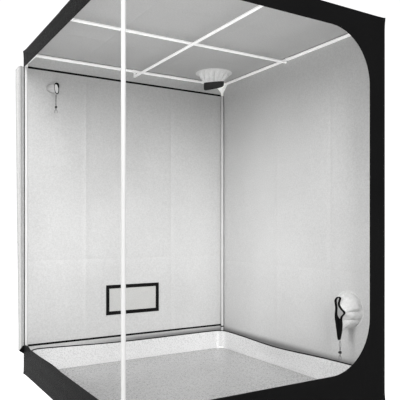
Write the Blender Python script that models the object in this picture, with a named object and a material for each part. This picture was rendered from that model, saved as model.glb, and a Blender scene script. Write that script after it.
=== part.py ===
"""Indoor grow tent: a push-fit steel tube frame inside a reflective cloth cover, with its doorways open.

Axes: X runs along the back wall from left to right, Y runs from the front to the back, Z is up.
The origin is on the ground, under the middle of the tent.
"""
import math
from collections import namedtuple

import bmesh
import bpy
from mathutils import Matrix, Vector

# Overall size of the closed cover, and the cloth it is sewn from.
TENT_WIDTH = 1.500
TENT_DEPTH = 1.500
TENT_HEIGHT = 2.000
CLOTH = 0.0010
FIT = 0.0003
RUNNING_GAP = 0.0006
OVERRUN = 0.010

# Doorways: the front and left one is open, the rear one is closed by a zipped panel.
TOP_BAND = 0.100
SILL_HEIGHT = 0.170
FRONT_BAND = 0.110
DOOR_CORNER_RADIUS = 0.265
ZIP_WIDTH = 0.010
ZIP_THICKNESS = 0.0024
CORNER_STRIP = 0.014

# Frame tubes and their three-way corner connectors, whose round caps hold the cover off the tubes.
TUBE_DIAMETER = 0.019
FRAME_CLEARANCE = 0.0035
TUBE_WALL = 0.0012
CONNECTOR_REACH = 0.080
SPIGOT_LENGTH = 0.045
GUSSET_LEG = 0.045
GUSSET_THICKNESS = 0.009
POST_JOINT_HEIGHT = 0.980
SWAGE_LENGTH = 0.060
SWAGE_NECK = 0.008

# Lamp bars, which hang under the roof rails by a hook at each end.
BAR_DIAMETER = 0.016
BAR_DROP = 0.0195
SECOND_BAR_DROP = 0.0390
HOOK_WIDTH = 0.014
HOOK_THICKNESS = 0.0022
HOOK_WRAP_DEGREES = 205.0

# Round ports with cloth sleeves.
ROOF_DUCT_X = 0.530
ROOF_DUCT_Y = 0.540
ROOF_DUCT_RADIUS = 0.118
ROOF_DUCT_LENGTH = 0.082
ROOF_MOUTH_LENGTH = 0.138
ROOF_MOUTH_WIDTH = 0.030
ROOF_MOUTH_DEGREES = -31.0
ROOF_MOUTH_TILT_DEGREES = 14.0
ROOF_FOLD_DEPTH = 0.0040
WALL_DUCT_Y = -0.530
WALL_DUCT_HEIGHT = 0.437
WALL_DUCT_RADIUS = 0.1175
WALL_DUCT_LENGTH = 0.075
WALL_MOUTH_HEIGHT = 0.236
WALL_MOUTH_WIDTH = 0.052
WALL_FOLD_DEPTH = 0.0035
WALL_DROOP = 0.030
WALL_LEAN = -0.012
WALL_PINCH_SHARE = -0.5
CABLE_PORT_X = -0.583
CABLE_PORT_DROP = 0.204
CABLE_PORT_RADIUS = 0.027
CABLE_PORT_LENGTH = 0.066
CABLE_MOUTH_HEIGHT = 0.060
CABLE_MOUTH_WIDTH = 0.026
CABLE_FOLD_DEPTH = 0.0015
CABLE_DROOP = 0.020
CABLE_LEAN = 0.017
CABLE_PINCH_SHARE = -0.3
SLEEVE_FLANGE = 0.012
DUCT_HEM = 0.028
WALL_HEM = 0.018
CABLE_HEM = 0.012
HEM_THICKNESS = 0.0030

# Drawcords and their cord locks.
CORD_DIAMETER = 0.0024
CORD_SPREAD = 0.0015
CORD_BELLY = 0.0042
CORD_END_SPREAD = 0.0065
CABLE_CORD_DROP = 0.071
WALL_CORD_DROP = 0.058
CORD_TAIL = 0.032
CORD_BELLY_SHARES = ((0.3, 1.0), (0.55, 0.8))
LOCK_TRAVEL = 0.010
LOCK_DEPTH = 0.014
LOCK_WIDTH = 0.0125
LOCK_HEIGHT = 0.013
LOCK_EDGE = 0.0022
PLUNGER_DIAMETER = 0.0086
PLUNGER_HEAD = 0.0045
PLUNGER_TRAVEL = 0.0025

# Rear vent window and its outer flap.
VENT_WIDTH = 0.400
VENT_HEIGHT = 0.202
VENT_BOTTOM = 0.318
VENT_BORDER = 0.024
BORDER_THICKNESS = 0.0015
MESH_THICKNESS = 0.0008
FLAP_MARGIN = 0.030

# Zip sliders and pulls.
SLIDER_LENGTH = 0.014
SLIDER_PLATE = 0.0016
SLIDER_LUG = 0.0016
SLIDER_PIN = 0.0016
SLIDER_PARKING = 0.070
PULL_LENGTH = 0.036
PULL_WIDTH = 0.0062
PULL_THICKNESS = 0.0012
PULL_NECK_SHARE = 0.5
PULL_NECK_LENGTH = 0.006
PULL_TAPER = 0.003

# Rolled door, hanging at the rear left corner, and the folded cloth under it.
ROLL_DIAMETER = 0.047
ROLL_BOTTOM = 0.146
ROLL_TOP_GAP = 0.002
ROLL_SHOULDER = 0.060
ROLL_TURN_STEP = 0.0040
ROLL_EDGE_DEGREES = -70.0
ROLL_FOLD = 0.0012
ROLL_LEVEL_SHARES = ((0, 0.18), (0.013, 0.05), (0.48, 0))
ROLL_SHOULDER_SHARE = 0.75
SEAM_TAPE_WIDTH = 0.0055
CORNER_FOLD_REACH = 0.032
CORNER_FOLD_HEIGHT = 0.052
CORNER_FOLD_THICKNESS = 0.006
CORNER_FOLD_SHARE = 0.65

# Lift-out floor tray.
TRAY_WALL = 0.134
TRAY_CORNER_RADIUS = 0.075
TRAY_LEAN = 0.004
TRAY_BINDING = 0.005
BINDING_THICKNESS = 0.0030
TRAY_SAG_RIGHT = 0.040
TRAY_SAG_BACK = 0.012
TRAY_SAG_LEFT = 0.014
TRAY_SAG_FRONT = 0.016
TRAY_MIDDLE_SAG_SHARE = 0.4

# Strap round the rear right post.
STRAP_HEIGHT = 0.009
STRAP_THICKNESS = 0.0015
STRAP_LEVEL = 0.155

# Places that follow from the sizes above.
WALL_X = TENT_WIDTH / 2
WALL_Y = TENT_DEPTH / 2
INNER_X = WALL_X - CLOTH
INNER_Y = WALL_Y - CLOTH
TUBE_RADIUS = TUBE_DIAMETER / 2
BORE_RADIUS = TUBE_RADIUS - TUBE_WALL
POST_X = INNER_X - FRAME_CLEARANCE - TUBE_RADIUS
POST_Y = INNER_Y - FRAME_CLEARANCE - TUBE_RADIUS
LOW_RAIL_Z = CLOTH + FRAME_CLEARANCE + TUBE_RADIUS
HIGH_RAIL_Z = TENT_HEIGHT - LOW_RAIL_Z
DOOR_TOP = TENT_HEIGHT - TOP_BAND
CABLE_PORT_HEIGHT = TENT_HEIGHT - CABLE_PORT_DROP
BODY_BOTTOM = CLOTH + FIT
BODY_TOP = TENT_HEIGHT - CLOTH - FIT
BAR_RADIUS = BAR_DIAMETER / 2
PULL_EYE = SLIDER_PIN / 2 + FIT
PULL_RIM = PULL_EYE + PULL_THICKNESS
PIN_LEVEL = SLIDER_PLATE + RUNNING_GAP + PULL_RIM

# Counts of sides and rings.
TUBE_SIDES = 12
HUB_RINGS = 6
BAR_SIDES = 12
ARC_SIDES = 14
DUCT_SIDES = 36
PORT_SIDES = 24
CORD_BEVEL_STEPS = 2
CORD_POINTS = 36
ROLL_SIDES = 30
TRAY_SIDE_STEPS = 10
TRAY_CORNER_STEPS = 5
ROLL_FOLDS = 5
ROLL_SHOULDER_STEPS = 5
DUCT_RINGS = 5
PORT_RINGS = 4
ROOF_FOLDS = 9
WALL_FOLDS = 7
CABLE_FOLDS = 5


def clear_scene():
    for old in list(bpy.data.objects):
        bpy.data.objects.remove(old, do_unlink=True)


def material(name, colour, roughness, metallic=0.0):
    made = bpy.data.materials.new(name)
    made.use_nodes = True
    shader = made.node_tree.nodes["Principled BSDF"]
    shader.inputs["Base Color"].default_value = (*colour, 1.0)
    shader.inputs["Roughness"].default_value = roughness
    shader.inputs["Metallic"].default_value = metallic
    return made


def add_object(name, mesh, look, location=(0, 0, 0), rotation=(0, 0, 0), parent=None):
    made = bpy.data.objects.new(name, mesh)
    made.location = location
    made.rotation_euler = rotation
    if look is not None:
        mesh.materials.clear()
        mesh.materials.append(look)
    bpy.context.scene.collection.objects.link(made)
    if parent is not None:
        made.parent = parent
    return made


def pivot(name, location, parent=None):
    """An empty on a joint's axis, which carries the pieces that move about it."""
    made = bpy.data.objects.new(name, None)
    made.location = location
    bpy.context.scene.collection.objects.link(made)
    if parent is not None:
        made.parent = parent
    return made


def finish_mesh(name, shape, smooth_degrees=None):
    bmesh.ops.remove_doubles(shape, verts=shape.verts, dist=FIT / 100)
    bmesh.ops.recalc_face_normals(shape, faces=shape.faces)
    mesh = bpy.data.meshes.new(name)
    shape.to_mesh(mesh)
    shape.free()
    if smooth_degrees is not None:
        mesh.shade_smooth()
        mesh.set_sharp_from_angle(angle=math.radians(smooth_degrees))
    return mesh


def box_mesh(name, low, high):
    low, high = Vector(low), Vector(high)
    shape = bmesh.new()
    middle = Matrix.Translation((low + high) / 2)
    bmesh.ops.create_cube(shape, size=1, matrix=middle @ Matrix.Diagonal((high - low).to_4d()))
    return finish_mesh(name, shape)


def loft_mesh(name, sections, smooth_degrees=None, closed_loop=False):
    """Skins equal loops of points, then caps both ends, or joins the last loop to the first.

    Each four-sided patch is cut into two triangles. A thin wall's sections go out along one face and back along
    the other, so the cuts lean the other way from halfway on, and the two faces bend alike.
    """
    shape = bmesh.new()
    loops = [[shape.verts.new(point) for point in section] for section in sections]
    count = len(loops[0])
    pairs = list(zip(loops, loops[1:]))
    if closed_loop:
        pairs.append((loops[-1], loops[0]))
    for step, (lower, upper) in enumerate(pairs):
        for i in range(count):
            j = (i + 1) % count
            if step < len(pairs) // 2:
                corners = (lower[i], lower[j], upper[j], upper[i])
            else:
                corners = (lower[j], upper[j], upper[i], lower[i])
            shape.faces.new(corners[:3])
            shape.faces.new((corners[0], corners[2], corners[3]))
    if not closed_loop:
        shape.faces.new(loops[0])
        shape.faces.new(list(reversed(loops[-1])))
    return finish_mesh(name, shape, smooth_degrees)


def extruded_mesh(name, outline, thickness):
    """A flat outline in X and Y, raised along Z by the thickness."""
    shape = bmesh.new()
    face = shape.faces.new([shape.verts.new((x, y, 0)) for x, y in outline])
    raised = bmesh.ops.extrude_face_region(shape, geom=[face])["geom"]
    tops = [item for item in raised if isinstance(item, bmesh.types.BMVert)]
    bmesh.ops.translate(shape, verts=tops, vec=(0, 0, thickness))
    return finish_mesh(name, shape)


def revolved_mesh(name, profile, sides, smooth_degrees=40):
    """Turns (radius, height) points about Z. A profile that starts and ends off the axis closes on itself."""
    hollow = profile[0][0] > 0
    shape = bmesh.new()
    points = [shape.verts.new((radius, 0, height)) for radius, height in profile]
    edges = [shape.edges.new(pair) for pair in zip(points, points[1:])]
    if hollow:
        edges.append(shape.edges.new((points[-1], points[0])))
    bmesh.ops.spin(
        shape, geom=points + edges, cent=(0, 0, 0), axis=(0, 0, 1), angle=math.tau, steps=sides
    )
    return finish_mesh(name, shape, smooth_degrees)


def arc(centre, radius, start_degrees, end_degrees, steps):
    points = []
    for i in range(steps + 1):
        angle = math.radians(start_degrees + (end_degrees - start_degrees) * i / steps)
        points.append((centre[0] + radius * math.cos(angle), centre[1] + radius * math.sin(angle)))
    return points


def smooth_step(share):
    return share * share * (3 - 2 * share)


def between(start, end, share):
    return start + (end - start) * share


def cutter(name, mesh, location=(0, 0, 0), rotation=(0, 0, 0), parent=None):
    made = add_object(name, mesh, None, location, rotation, parent)
    made.hide_render = True
    made.display_type = "WIRE"
    return made


def boolean(target, other, operation):
    step = target.modifiers.new(other.name, "BOOLEAN")
    step.operation = operation
    step.solver = "EXACT"
    step.object = other


def applied_mesh(name, target):
    """The object's mesh with its modifiers in it, so that several objects can share it."""
    bpy.context.view_layer.update()
    graph = bpy.context.evaluated_depsgraph_get()
    mesh = bpy.data.meshes.new_from_object(target.evaluated_get(graph))
    mesh.name = name
    mesh.shade_smooth()
    mesh.set_sharp_from_angle(angle=math.radians(40))
    return mesh


# Frame.


def tube_mesh(name, length, radius, bore, sides):
    """A hollow tube that stands on the origin and runs up Z."""
    return revolved_mesh(name, [(radius, length), (radius, 0), (bore, 0), (bore, length)], sides)


def connector_mesh():
    """Three arms along -X, -Y and -Z from a round hub, with spigots and a gusset between each two."""
    spigot = BORE_RADIUS - FIT
    end = CONNECTOR_REACH + SPIGOT_LENGTH
    arm_profile = [
        (0, -end),
        (spigot - TUBE_WALL, -end),
        (spigot, -end + TUBE_WALL),
        (spigot, -CONNECTOR_REACH),
        (TUBE_RADIUS, -CONNECTOR_REACH),
        (TUBE_RADIUS, TUBE_RADIUS / 2),
        (0, TUBE_RADIUS / 2),
    ]
    arm = revolved_mesh("connector_arm", arm_profile, TUBE_SIDES)
    quarter = math.pi / 2
    cap = TUBE_RADIUS + FRAME_CLEARANCE - FIT
    ball = [(cap * math.sin(angle), cap * math.cos(angle)) for angle in hub_angles()]
    body = cutter("connector_hub", revolved_mesh("connector_hub", ball, TUBE_SIDES))
    for turn, rotation in enumerate(((0, 0, 0), (0, quarter, 0), (-quarter, 0, 0))):
        twisted = arm.copy()
        twisted.transform(Matrix.Rotation(math.tau / TUBE_SIDES * (turn + 1) / 4, 4, "Z"))
        boolean(body, cutter("connector_arm_%d" % turn, twisted, rotation=rotation), "UNION")
    web = [(0, 0), (-GUSSET_LEG, 0), (0, -GUSSET_LEG)]
    for turn, rotation in enumerate(((0, 0, 0), (quarter, 0, 0), (0, -quarter, 0))):
        plate = extruded_mesh("gusset_%d" % turn, web, GUSSET_THICKNESS)
        plate.transform(Matrix.Translation((0, 0, -GUSSET_THICKNESS / 2)))
        boolean(body, cutter("connector_web_%d" % turn, plate, rotation=rotation), "UNION")
    return applied_mesh("connector", body)


def hub_angles():
    return [math.pi * i / HUB_RINGS for i in range(HUB_RINGS + 1)]


def corner_name(x_side, y_side):
    return ("front", "back")[y_side > 0] + "_" + ("left", "right")[x_side > 0]


def connectors(look):
    """The hub's arms point in from every corner: a quarter turn for each, and upside down at the foot."""
    mesh = connector_mesh()
    turns = {(1, 1): 0, (-1, 1): 1, (-1, -1): 2, (1, -1): 3}
    for (x_side, y_side), turn in turns.items():
        place = corner_name(x_side, y_side)
        spin = turn * math.pi / 2
        top = (x_side * POST_X, y_side * POST_Y, HIGH_RAIL_Z)
        add_object("connector_top_" + place, mesh, look, top, (0, 0, spin))
        foot = (x_side * POST_X, y_side * POST_Y, LOW_RAIL_Z)
        add_object("connector_foot_" + place, mesh, look, foot, (math.pi, 0, spin + math.pi / 2))


def posts(look):
    """Each post is two tubes: the upper one's swaged end pushes down into the lower one."""
    shoulder = CONNECTOR_REACH + FIT
    foot = LOW_RAIL_Z + shoulder
    joint = POST_JOINT_HEIGHT
    top = HIGH_RAIL_Z - shoulder
    lower = tube_mesh("post_lower", joint - foot, TUBE_RADIUS, BORE_RADIUS, TUBE_SIDES)
    swage = BORE_RADIUS - FIT
    inside = swage - TUBE_WALL
    length = top - joint - FIT
    profile = [
        (TUBE_RADIUS, length),
        (TUBE_RADIUS, 0),
        (swage, 0),
        (swage, -SWAGE_LENGTH),
        (inside, -SWAGE_LENGTH),
        (inside, SWAGE_NECK),
        (BORE_RADIUS, SWAGE_NECK * 2),
        (BORE_RADIUS, length),
    ]
    upper = revolved_mesh("post_upper", profile, TUBE_SIDES)
    for x_side in (-1, 1):
        for y_side in (-1, 1):
            place = corner_name(x_side, y_side)
            x, y = x_side * POST_X, y_side * POST_Y
            add_object("post_lower_" + place, lower, look, (x, y, foot))
            add_object("post_upper_" + place, upper, look, (x, y, joint + FIT))


def rails(look):
    shoulder = CONNECTOR_REACH + FIT
    quarter = math.pi / 2
    across = 2 * (POST_X - shoulder)
    deep = 2 * (POST_Y - shoulder)
    mesh_x = tube_mesh("rail_x", across, TUBE_RADIUS, BORE_RADIUS, TUBE_SIDES)
    mesh_y = tube_mesh("rail_y", deep, TUBE_RADIUS, BORE_RADIUS, TUBE_SIDES)
    for level, z in (("top", HIGH_RAIL_Z), ("foot", LOW_RAIL_Z)):
        for side, y in (("front", -POST_Y), ("back", POST_Y)):
            add_object(f"rail_{level}_{side}", mesh_x, look, (-across / 2, y, z), (0, quarter, 0))
        for side, x in (("left", -POST_X), ("right", POST_X)):
            add_object(f"rail_{level}_{side}", mesh_y, look, (x, deep / 2, z), (quarter, 0, 0))


def hook_mesh(name, drop):
    """A bent strap that wraps the rail at the origin, with a stem on its +X side down to the bar's end."""
    inner = TUBE_RADIUS + RUNNING_GAP
    outer = inner + HOOK_THICKNESS
    low = -drop - BAR_RADIUS * math.sqrt(0.75)
    outline = [(inner, low), (outer, low)]
    outline += arc((0, 0), outer, 0, HOOK_WRAP_DEGREES, ARC_SIDES)
    outline += arc((0, 0), inner, HOOK_WRAP_DEGREES, 0, ARC_SIDES)
    mesh = extruded_mesh(name, outline, HOOK_WIDTH)
    mesh.transform(Matrix.Translation((0, 0, -HOOK_WIDTH / 2)))
    mesh.transform(Matrix.Rotation(math.pi / 2, 4, "X"))
    return mesh


def lamp_bar(name, span, drop, look, rotation):
    """A tube between two opposite roof rails, made in one with the hook at each end."""
    inset = TUBE_RADIUS + RUNNING_GAP + HOOK_THICKNESS / 2
    half = span - inset
    carrier = pivot(name + "_slide", (0, 0, HIGH_RAIL_Z))
    carrier.rotation_euler = rotation
    bar = revolved_mesh(name, [(0, half), (BAR_RADIUS, half), (BAR_RADIUS, -half), (0, -half)], BAR_SIDES)
    bar.transform(Matrix.Rotation(math.pi / 2, 4, "Y"))
    bar.transform(Matrix.Translation((0, 0, -drop)))
    made = add_object(name, bar, look, parent=carrier)
    left = cutter(name + "_hook_left", hook_mesh(name + "_hook", drop), (-span, 0, 0), parent=carrier)
    right = cutter(name + "_hook_right", left.data, (span, 0, 0), (0, 0, math.pi), carrier)
    boolean(made, left, "UNION")
    boolean(made, right, "UNION")


# Cover.


def cover_sheet(name, outline, look, location, rotation, thickness=CLOTH):
    return add_object(name, extruded_mesh(name, outline, thickness), look, location, rotation)


def rectangle(left, right, low, high):
    return [(left, low), (right, low), (right, high), (left, high)]


def roof(look):
    """The roof cloth lies over the side walls, with the duct port cut through it."""
    outline = rectangle(-WALL_X, WALL_X, -WALL_Y, WALL_Y)
    sheet = cover_sheet("cover_roof", outline, look, (0, 0, TENT_HEIGHT - CLOTH), (0, 0, 0))
    hole = revolved_mesh("roof_duct_cut", round_rod(ROOF_DUCT_RADIUS, OVERRUN), DUCT_SIDES)
    boolean(sheet, cutter("roof_duct_cut", hole, (ROOF_DUCT_X, ROOF_DUCT_Y, TENT_HEIGHT)), "DIFFERENCE")


def round_rod(radius, half_length):
    return [(0, half_length), (radius, half_length), (radius, -half_length), (0, -half_length)]


def ground_sheet(look):
    outline = rectangle(-WALL_X, WALL_X, -WALL_Y, WALL_Y)
    cover_sheet("cover_floor", outline, look, (0, 0, 0), (0, 0, 0))


def right_wall(look):
    """Drawn in Y and Z, then stood up against the inside of the front and back walls."""
    depth = INNER_Y - FIT
    outline = rectangle(-depth, depth, BODY_BOTTOM, BODY_TOP)
    sheet = cover_sheet("cover_right_wall", outline, look, (INNER_X, 0, 0), (math.pi / 2, 0, math.pi / 2))
    hole = revolved_mesh("wall_duct_cut", round_rod(WALL_DUCT_RADIUS, OVERRUN), DUCT_SIDES)
    place = (WALL_X, WALL_DUCT_Y, WALL_DUCT_HEIGHT)
    boolean(sheet, cutter("wall_duct_cut", hole, place, (0, math.pi / 2, 0)), "DIFFERENCE")


def front_wall(look):
    """A band over the doorway, one down its right side and one under it, with two round corners."""
    edge = WALL_X - FRONT_BAND
    centre_x = edge - DOOR_CORNER_RADIUS
    upper = arc((centre_x, DOOR_TOP - DOOR_CORNER_RADIUS), DOOR_CORNER_RADIUS, 90, 0, ARC_SIDES)
    lower = arc((centre_x, SILL_HEIGHT + DOOR_CORNER_RADIUS), DOOR_CORNER_RADIUS, 0, -90, ARC_SIDES)
    outline = [(-WALL_X, BODY_BOTTOM), (WALL_X, BODY_BOTTOM), (WALL_X, BODY_TOP), (-WALL_X, BODY_TOP)]
    outline += [(-WALL_X, DOOR_TOP)] + upper + lower + [(-WALL_X, SILL_HEIGHT)]
    cover_sheet("cover_front_wall", outline, look, (0, -INNER_Y, 0), (math.pi / 2, 0, 0))


def left_bands(look):
    depth = INNER_Y - FIT
    spin = (math.pi / 2, 0, math.pi / 2)
    for name, low, high in (
        ("cover_left_top_band", DOOR_TOP, BODY_TOP),
        ("cover_left_sill", BODY_BOTTOM, SILL_HEIGHT),
    ):
        cover_sheet(name, rectangle(-depth, depth, low, high), look, (-WALL_X, 0, 0), spin)


def back_wall(look):
    """The sewn border of the rear doorway."""
    outline = rectangle(-WALL_X, WALL_X, BODY_BOTTOM, BODY_TOP)
    sheet = cover_sheet("cover_back_wall", outline, look, (0, WALL_Y, 0), (math.pi / 2, 0, 0))
    side = WALL_X - CORNER_STRIP
    doorway = box_mesh(
        "rear_doorway_cut",
        (-side, INNER_Y - OVERRUN, SILL_HEIGHT - ZIP_WIDTH / 2),
        (side, WALL_Y + OVERRUN, DOOR_TOP + ZIP_WIDTH / 2),
    )
    boolean(sheet, cutter("rear_doorway_cut", doorway), "DIFFERENCE")


def rear_zip(look):
    """The closed chain runs along the top, down the left side and along the bottom of the rear doorway."""
    outer = WALL_X - CORNER_STRIP - FIT
    inner = outer - ZIP_WIDTH + 2 * FIT
    top = DOOR_TOP + ZIP_WIDTH / 2 - FIT
    under_top = DOOR_TOP - ZIP_WIDTH / 2 + FIT
    low = SILL_HEIGHT - ZIP_WIDTH / 2 + FIT
    over_low = SILL_HEIGHT + ZIP_WIDTH / 2 - FIT
    outline = [(-outer, low), (outer, low), (outer, over_low), (-inner, over_low)]
    outline += [(-inner, under_top), (outer, under_top), (outer, top), (-outer, top)]
    middle = (WALL_Y + INNER_Y + ZIP_THICKNESS) / 2
    cover_sheet("rear_zip_chain", outline, look, (0, middle, 0), (math.pi / 2, 0, 0), ZIP_THICKNESS)


# Rear door panel with its vent window. Everything on it hangs from the hinge empty.


def rear_panel_hinge():
    return pivot("rear_panel_hinge", (WALL_X - CORNER_STRIP - FIT, WALL_Y, 0))


def rear_panel(look, hinge):
    """The zipped panel, from its sewn edge to the left, with holes for the window and the cable port."""
    origin_x = hinge.location.x
    zip_side = WALL_X - CORNER_STRIP - ZIP_WIDTH - FIT
    low = SILL_HEIGHT + ZIP_WIDTH / 2
    high = DOOR_TOP - ZIP_WIDTH / 2
    outline = rectangle(-zip_side - origin_x, 0, low, high)
    mesh = extruded_mesh("rear_panel", outline, CLOTH)
    sheet = add_object("rear_panel", mesh, look, rotation=(math.pi / 2, 0, 0), parent=hinge)
    window = box_mesh(
        "vent_cut",
        (VENT_BORDER - VENT_WIDTH / 2 - origin_x, -OVERRUN, VENT_BOTTOM + VENT_BORDER),
        (VENT_WIDTH / 2 - VENT_BORDER - origin_x, OVERRUN, VENT_BOTTOM + VENT_HEIGHT - VENT_BORDER),
    )
    boolean(sheet, cutter("vent_cut", window, parent=hinge), "DIFFERENCE")
    hole = revolved_mesh("cable_port_cut", round_rod(CABLE_PORT_RADIUS, OVERRUN), PORT_SIDES)
    place = (CABLE_PORT_X - origin_x, 0, CABLE_PORT_HEIGHT)
    boolean(sheet, cutter("cable_port_cut", hole, place, (math.pi / 2, 0, 0), hinge), "DIFFERENCE")


def vent_window(border_look, mesh_look, flap_look, hinge):
    """A black border on the inside, a mesh sheet in the hole and a larger flap hinged over it outside."""
    origin_x = hinge.location.x
    half = VENT_WIDTH / 2
    top = VENT_BOTTOM + VENT_HEIGHT
    inside = -CLOTH - FIT
    border = box_mesh(
        "vent_border",
        (-half - origin_x, inside - BORDER_THICKNESS, VENT_BOTTOM),
        (half - origin_x, inside, top),
    )
    frame = add_object("vent_border", border, border_look, parent=hinge)
    hole = box_mesh(
        "vent_border_cut",
        (VENT_BORDER - half - origin_x, inside - OVERRUN, VENT_BOTTOM + VENT_BORDER),
        (half - VENT_BORDER - origin_x, inside + OVERRUN, top - VENT_BORDER),
    )
    boolean(frame, cutter("vent_border_cut", hole, parent=hinge), "DIFFERENCE")
    gap = VENT_BORDER + FIT
    sheet = box_mesh(
        "vent_mesh",
        (gap - half - origin_x, -(CLOTH + MESH_THICKNESS) / 2, VENT_BOTTOM + gap),
        (half - gap - origin_x, -(CLOTH - MESH_THICKNESS) / 2, top - gap),
    )
    add_object("vent_mesh", sheet, mesh_look, parent=hinge)
    flap_hinge = pivot("vent_flap_hinge", (-origin_x, FIT + CLOTH / 2, top + FLAP_MARGIN), hinge)
    flap = box_mesh(
        "vent_flap",
        (-half - FLAP_MARGIN, -CLOTH / 2, -VENT_HEIGHT - 2 * FLAP_MARGIN),
        (half + FLAP_MARGIN, CLOTH / 2, 0),
    )
    add_object("vent_flap", flap, flap_look, parent=flap_hinge)


# Cloth sleeves of the ports. They are lofted along +Z from a round sewn flange to a flattened mouth.


Sleeve = namedtuple("Sleeve", "radius length half_long half_short folds fold_depth pinch tilt droop lean")


def sleeve_section(size, share, inset, sides):
    """One loop of the sleeve: share runs from 0 at the flange to 1 at the mouth. A fold lies at its foot.

    Towards the mouth the loop sinks by the droop and shifts along local X by the lean.
    """
    blend = smooth_step(share)
    points = []
    for i in range(sides):
        angle = math.tau * i / sides
        wave = size.fold_depth * blend * math.cos(size.folds * (angle + math.pi / 2))
        squeeze = 1 - size.pinch * blend * math.sin(angle)
        along = (between(size.radius, size.half_long, blend) + wave - inset) * math.sin(angle)
        across = (between(size.radius, size.half_short, blend) + wave / 2 - inset) * math.cos(angle) * squeeze
        height = size.length * share + along * size.tilt * blend
        points.append((across + size.lean * blend, along - size.droop * blend, height))
    return points


def sleeve_mesh(name, size, sides, rings):
    """A thin open tube with a flat flange round its base."""
    outer = [sleeve_section(size, i / rings, 0, sides) for i in range(rings + 1)]
    inner = [sleeve_section(size, i / rings, CLOTH, sides) for i in range(rings + 1)]
    rim = sleeve_section(size, 0, -SLEEVE_FLANGE, sides)
    lifted = [(x, y, CLOTH) for x, y, z in rim]
    neck = [(x, y, CLOTH) for x, y, z in outer[0]]
    sections = [lifted, neck] + outer[1:] + list(reversed(inner)) + [rim]
    return loft_mesh(name, sections, 50, closed_loop=True)


def hem_mesh(name, size, hem, sides):
    """The thicker folded band that carries on from the sleeve's mouth."""
    out = HEM_THICKNESS - CLOTH
    profile = ((FIT, CLOTH), (FIT, -out), (hem / 2, -out), (hem, -out / 2), (hem, CLOTH), (hem / 2, CLOTH))
    loops = []
    for lift, inset in profile:
        ring = sleeve_section(size, 1, inset, sides)
        loops.append([(x, y, z + lift) for x, y, z in ring])
    return loft_mesh(name, loops, 50, closed_loop=True)


def hem_depth(size, sides):
    """How far the hem's lowest point lies under the middle of the port."""
    return -min(y for x, y, z in sleeve_section(size, 1, CLOTH - HEM_THICKNESS, sides))


def roof_duct(sleeve_look, hem_look):
    """It hangs from the roof: local Z points down and local Y lies along the flattened mouth."""
    size = Sleeve(
        radius=ROOF_DUCT_RADIUS,
        length=ROOF_DUCT_LENGTH,
        half_long=ROOF_MOUTH_LENGTH / 2,
        half_short=ROOF_MOUTH_WIDTH / 2,
        folds=ROOF_FOLDS,
        fold_depth=ROOF_FOLD_DEPTH,
        pinch=0,
        tilt=math.tan(math.radians(ROOF_MOUTH_TILT_DEGREES)),
        droop=0,
        lean=0,
    )
    place = (ROOF_DUCT_X, ROOF_DUCT_Y, TENT_HEIGHT - CLOTH - FIT)
    turn = (math.pi, 0, math.radians(ROOF_MOUTH_DEGREES) - math.pi / 2)
    sleeve = sleeve_mesh("roof_duct_sleeve", size, DUCT_SIDES, DUCT_RINGS)
    add_object("roof_duct_sleeve", sleeve, sleeve_look, place, turn)
    hem = hem_mesh("roof_duct_hem", size, DUCT_HEM, DUCT_SIDES)
    add_object("roof_duct_hem", hem, hem_look, place, turn)


def wall_duct(sleeve_look, hem_look):
    """It points in from the right wall: local Z runs along -X and local Y is up."""
    size = Sleeve(
        radius=WALL_DUCT_RADIUS,
        length=WALL_DUCT_LENGTH,
        half_long=WALL_MOUTH_HEIGHT / 2,
        half_short=WALL_MOUTH_WIDTH / 2,
        folds=WALL_FOLDS,
        fold_depth=WALL_FOLD_DEPTH,
        pinch=WALL_PINCH_SHARE,
        tilt=0,
        droop=WALL_DROOP,
        lean=WALL_LEAN,
    )
    place = (INNER_X - FIT, WALL_DUCT_Y, WALL_DUCT_HEIGHT)
    turn = (math.pi / 2, 0, -math.pi / 2)
    sleeve = sleeve_mesh("wall_duct_sleeve", size, DUCT_SIDES, DUCT_RINGS)
    add_object("wall_duct_sleeve", sleeve, sleeve_look, place, turn)
    hem = hem_mesh("wall_duct_hem", size, WALL_HEM, DUCT_SIDES)
    add_object("wall_duct_hem", hem, hem_look, place, turn)
    return WALL_DUCT_HEIGHT - hem_depth(size, DUCT_SIDES) - FIT


def cable_port(sleeve_look, hem_look, hinge):
    """It points in from the rear panel: local Z runs along -Y and local Y is up."""
    size = Sleeve(
        radius=CABLE_PORT_RADIUS,
        length=CABLE_PORT_LENGTH,
        half_long=CABLE_MOUTH_HEIGHT / 2,
        half_short=CABLE_MOUTH_WIDTH / 2,
        folds=CABLE_FOLDS,
        fold_depth=CABLE_FOLD_DEPTH,
        pinch=CABLE_PINCH_SHARE,
        tilt=0,
        droop=CABLE_DROOP,
        lean=CABLE_LEAN,
    )
    place = (CABLE_PORT_X - hinge.location.x, -CLOTH - FIT, CABLE_PORT_HEIGHT)
    turn = (math.pi / 2, 0, 0)
    sleeve = sleeve_mesh("cable_port_sleeve", size, PORT_SIDES, PORT_RINGS)
    add_object("cable_port_sleeve", sleeve, sleeve_look, place, turn, hinge)
    hem = hem_mesh("cable_port_hem", size, CABLE_HEM, PORT_SIDES)
    add_object("cable_port_hem", hem, hem_look, place, turn, hinge)
    return CABLE_PORT_HEIGHT - hem_depth(size, PORT_SIDES) - FIT


# Drawcords: one doubled cord under each hem, with a cord lock on its two strands.


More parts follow.
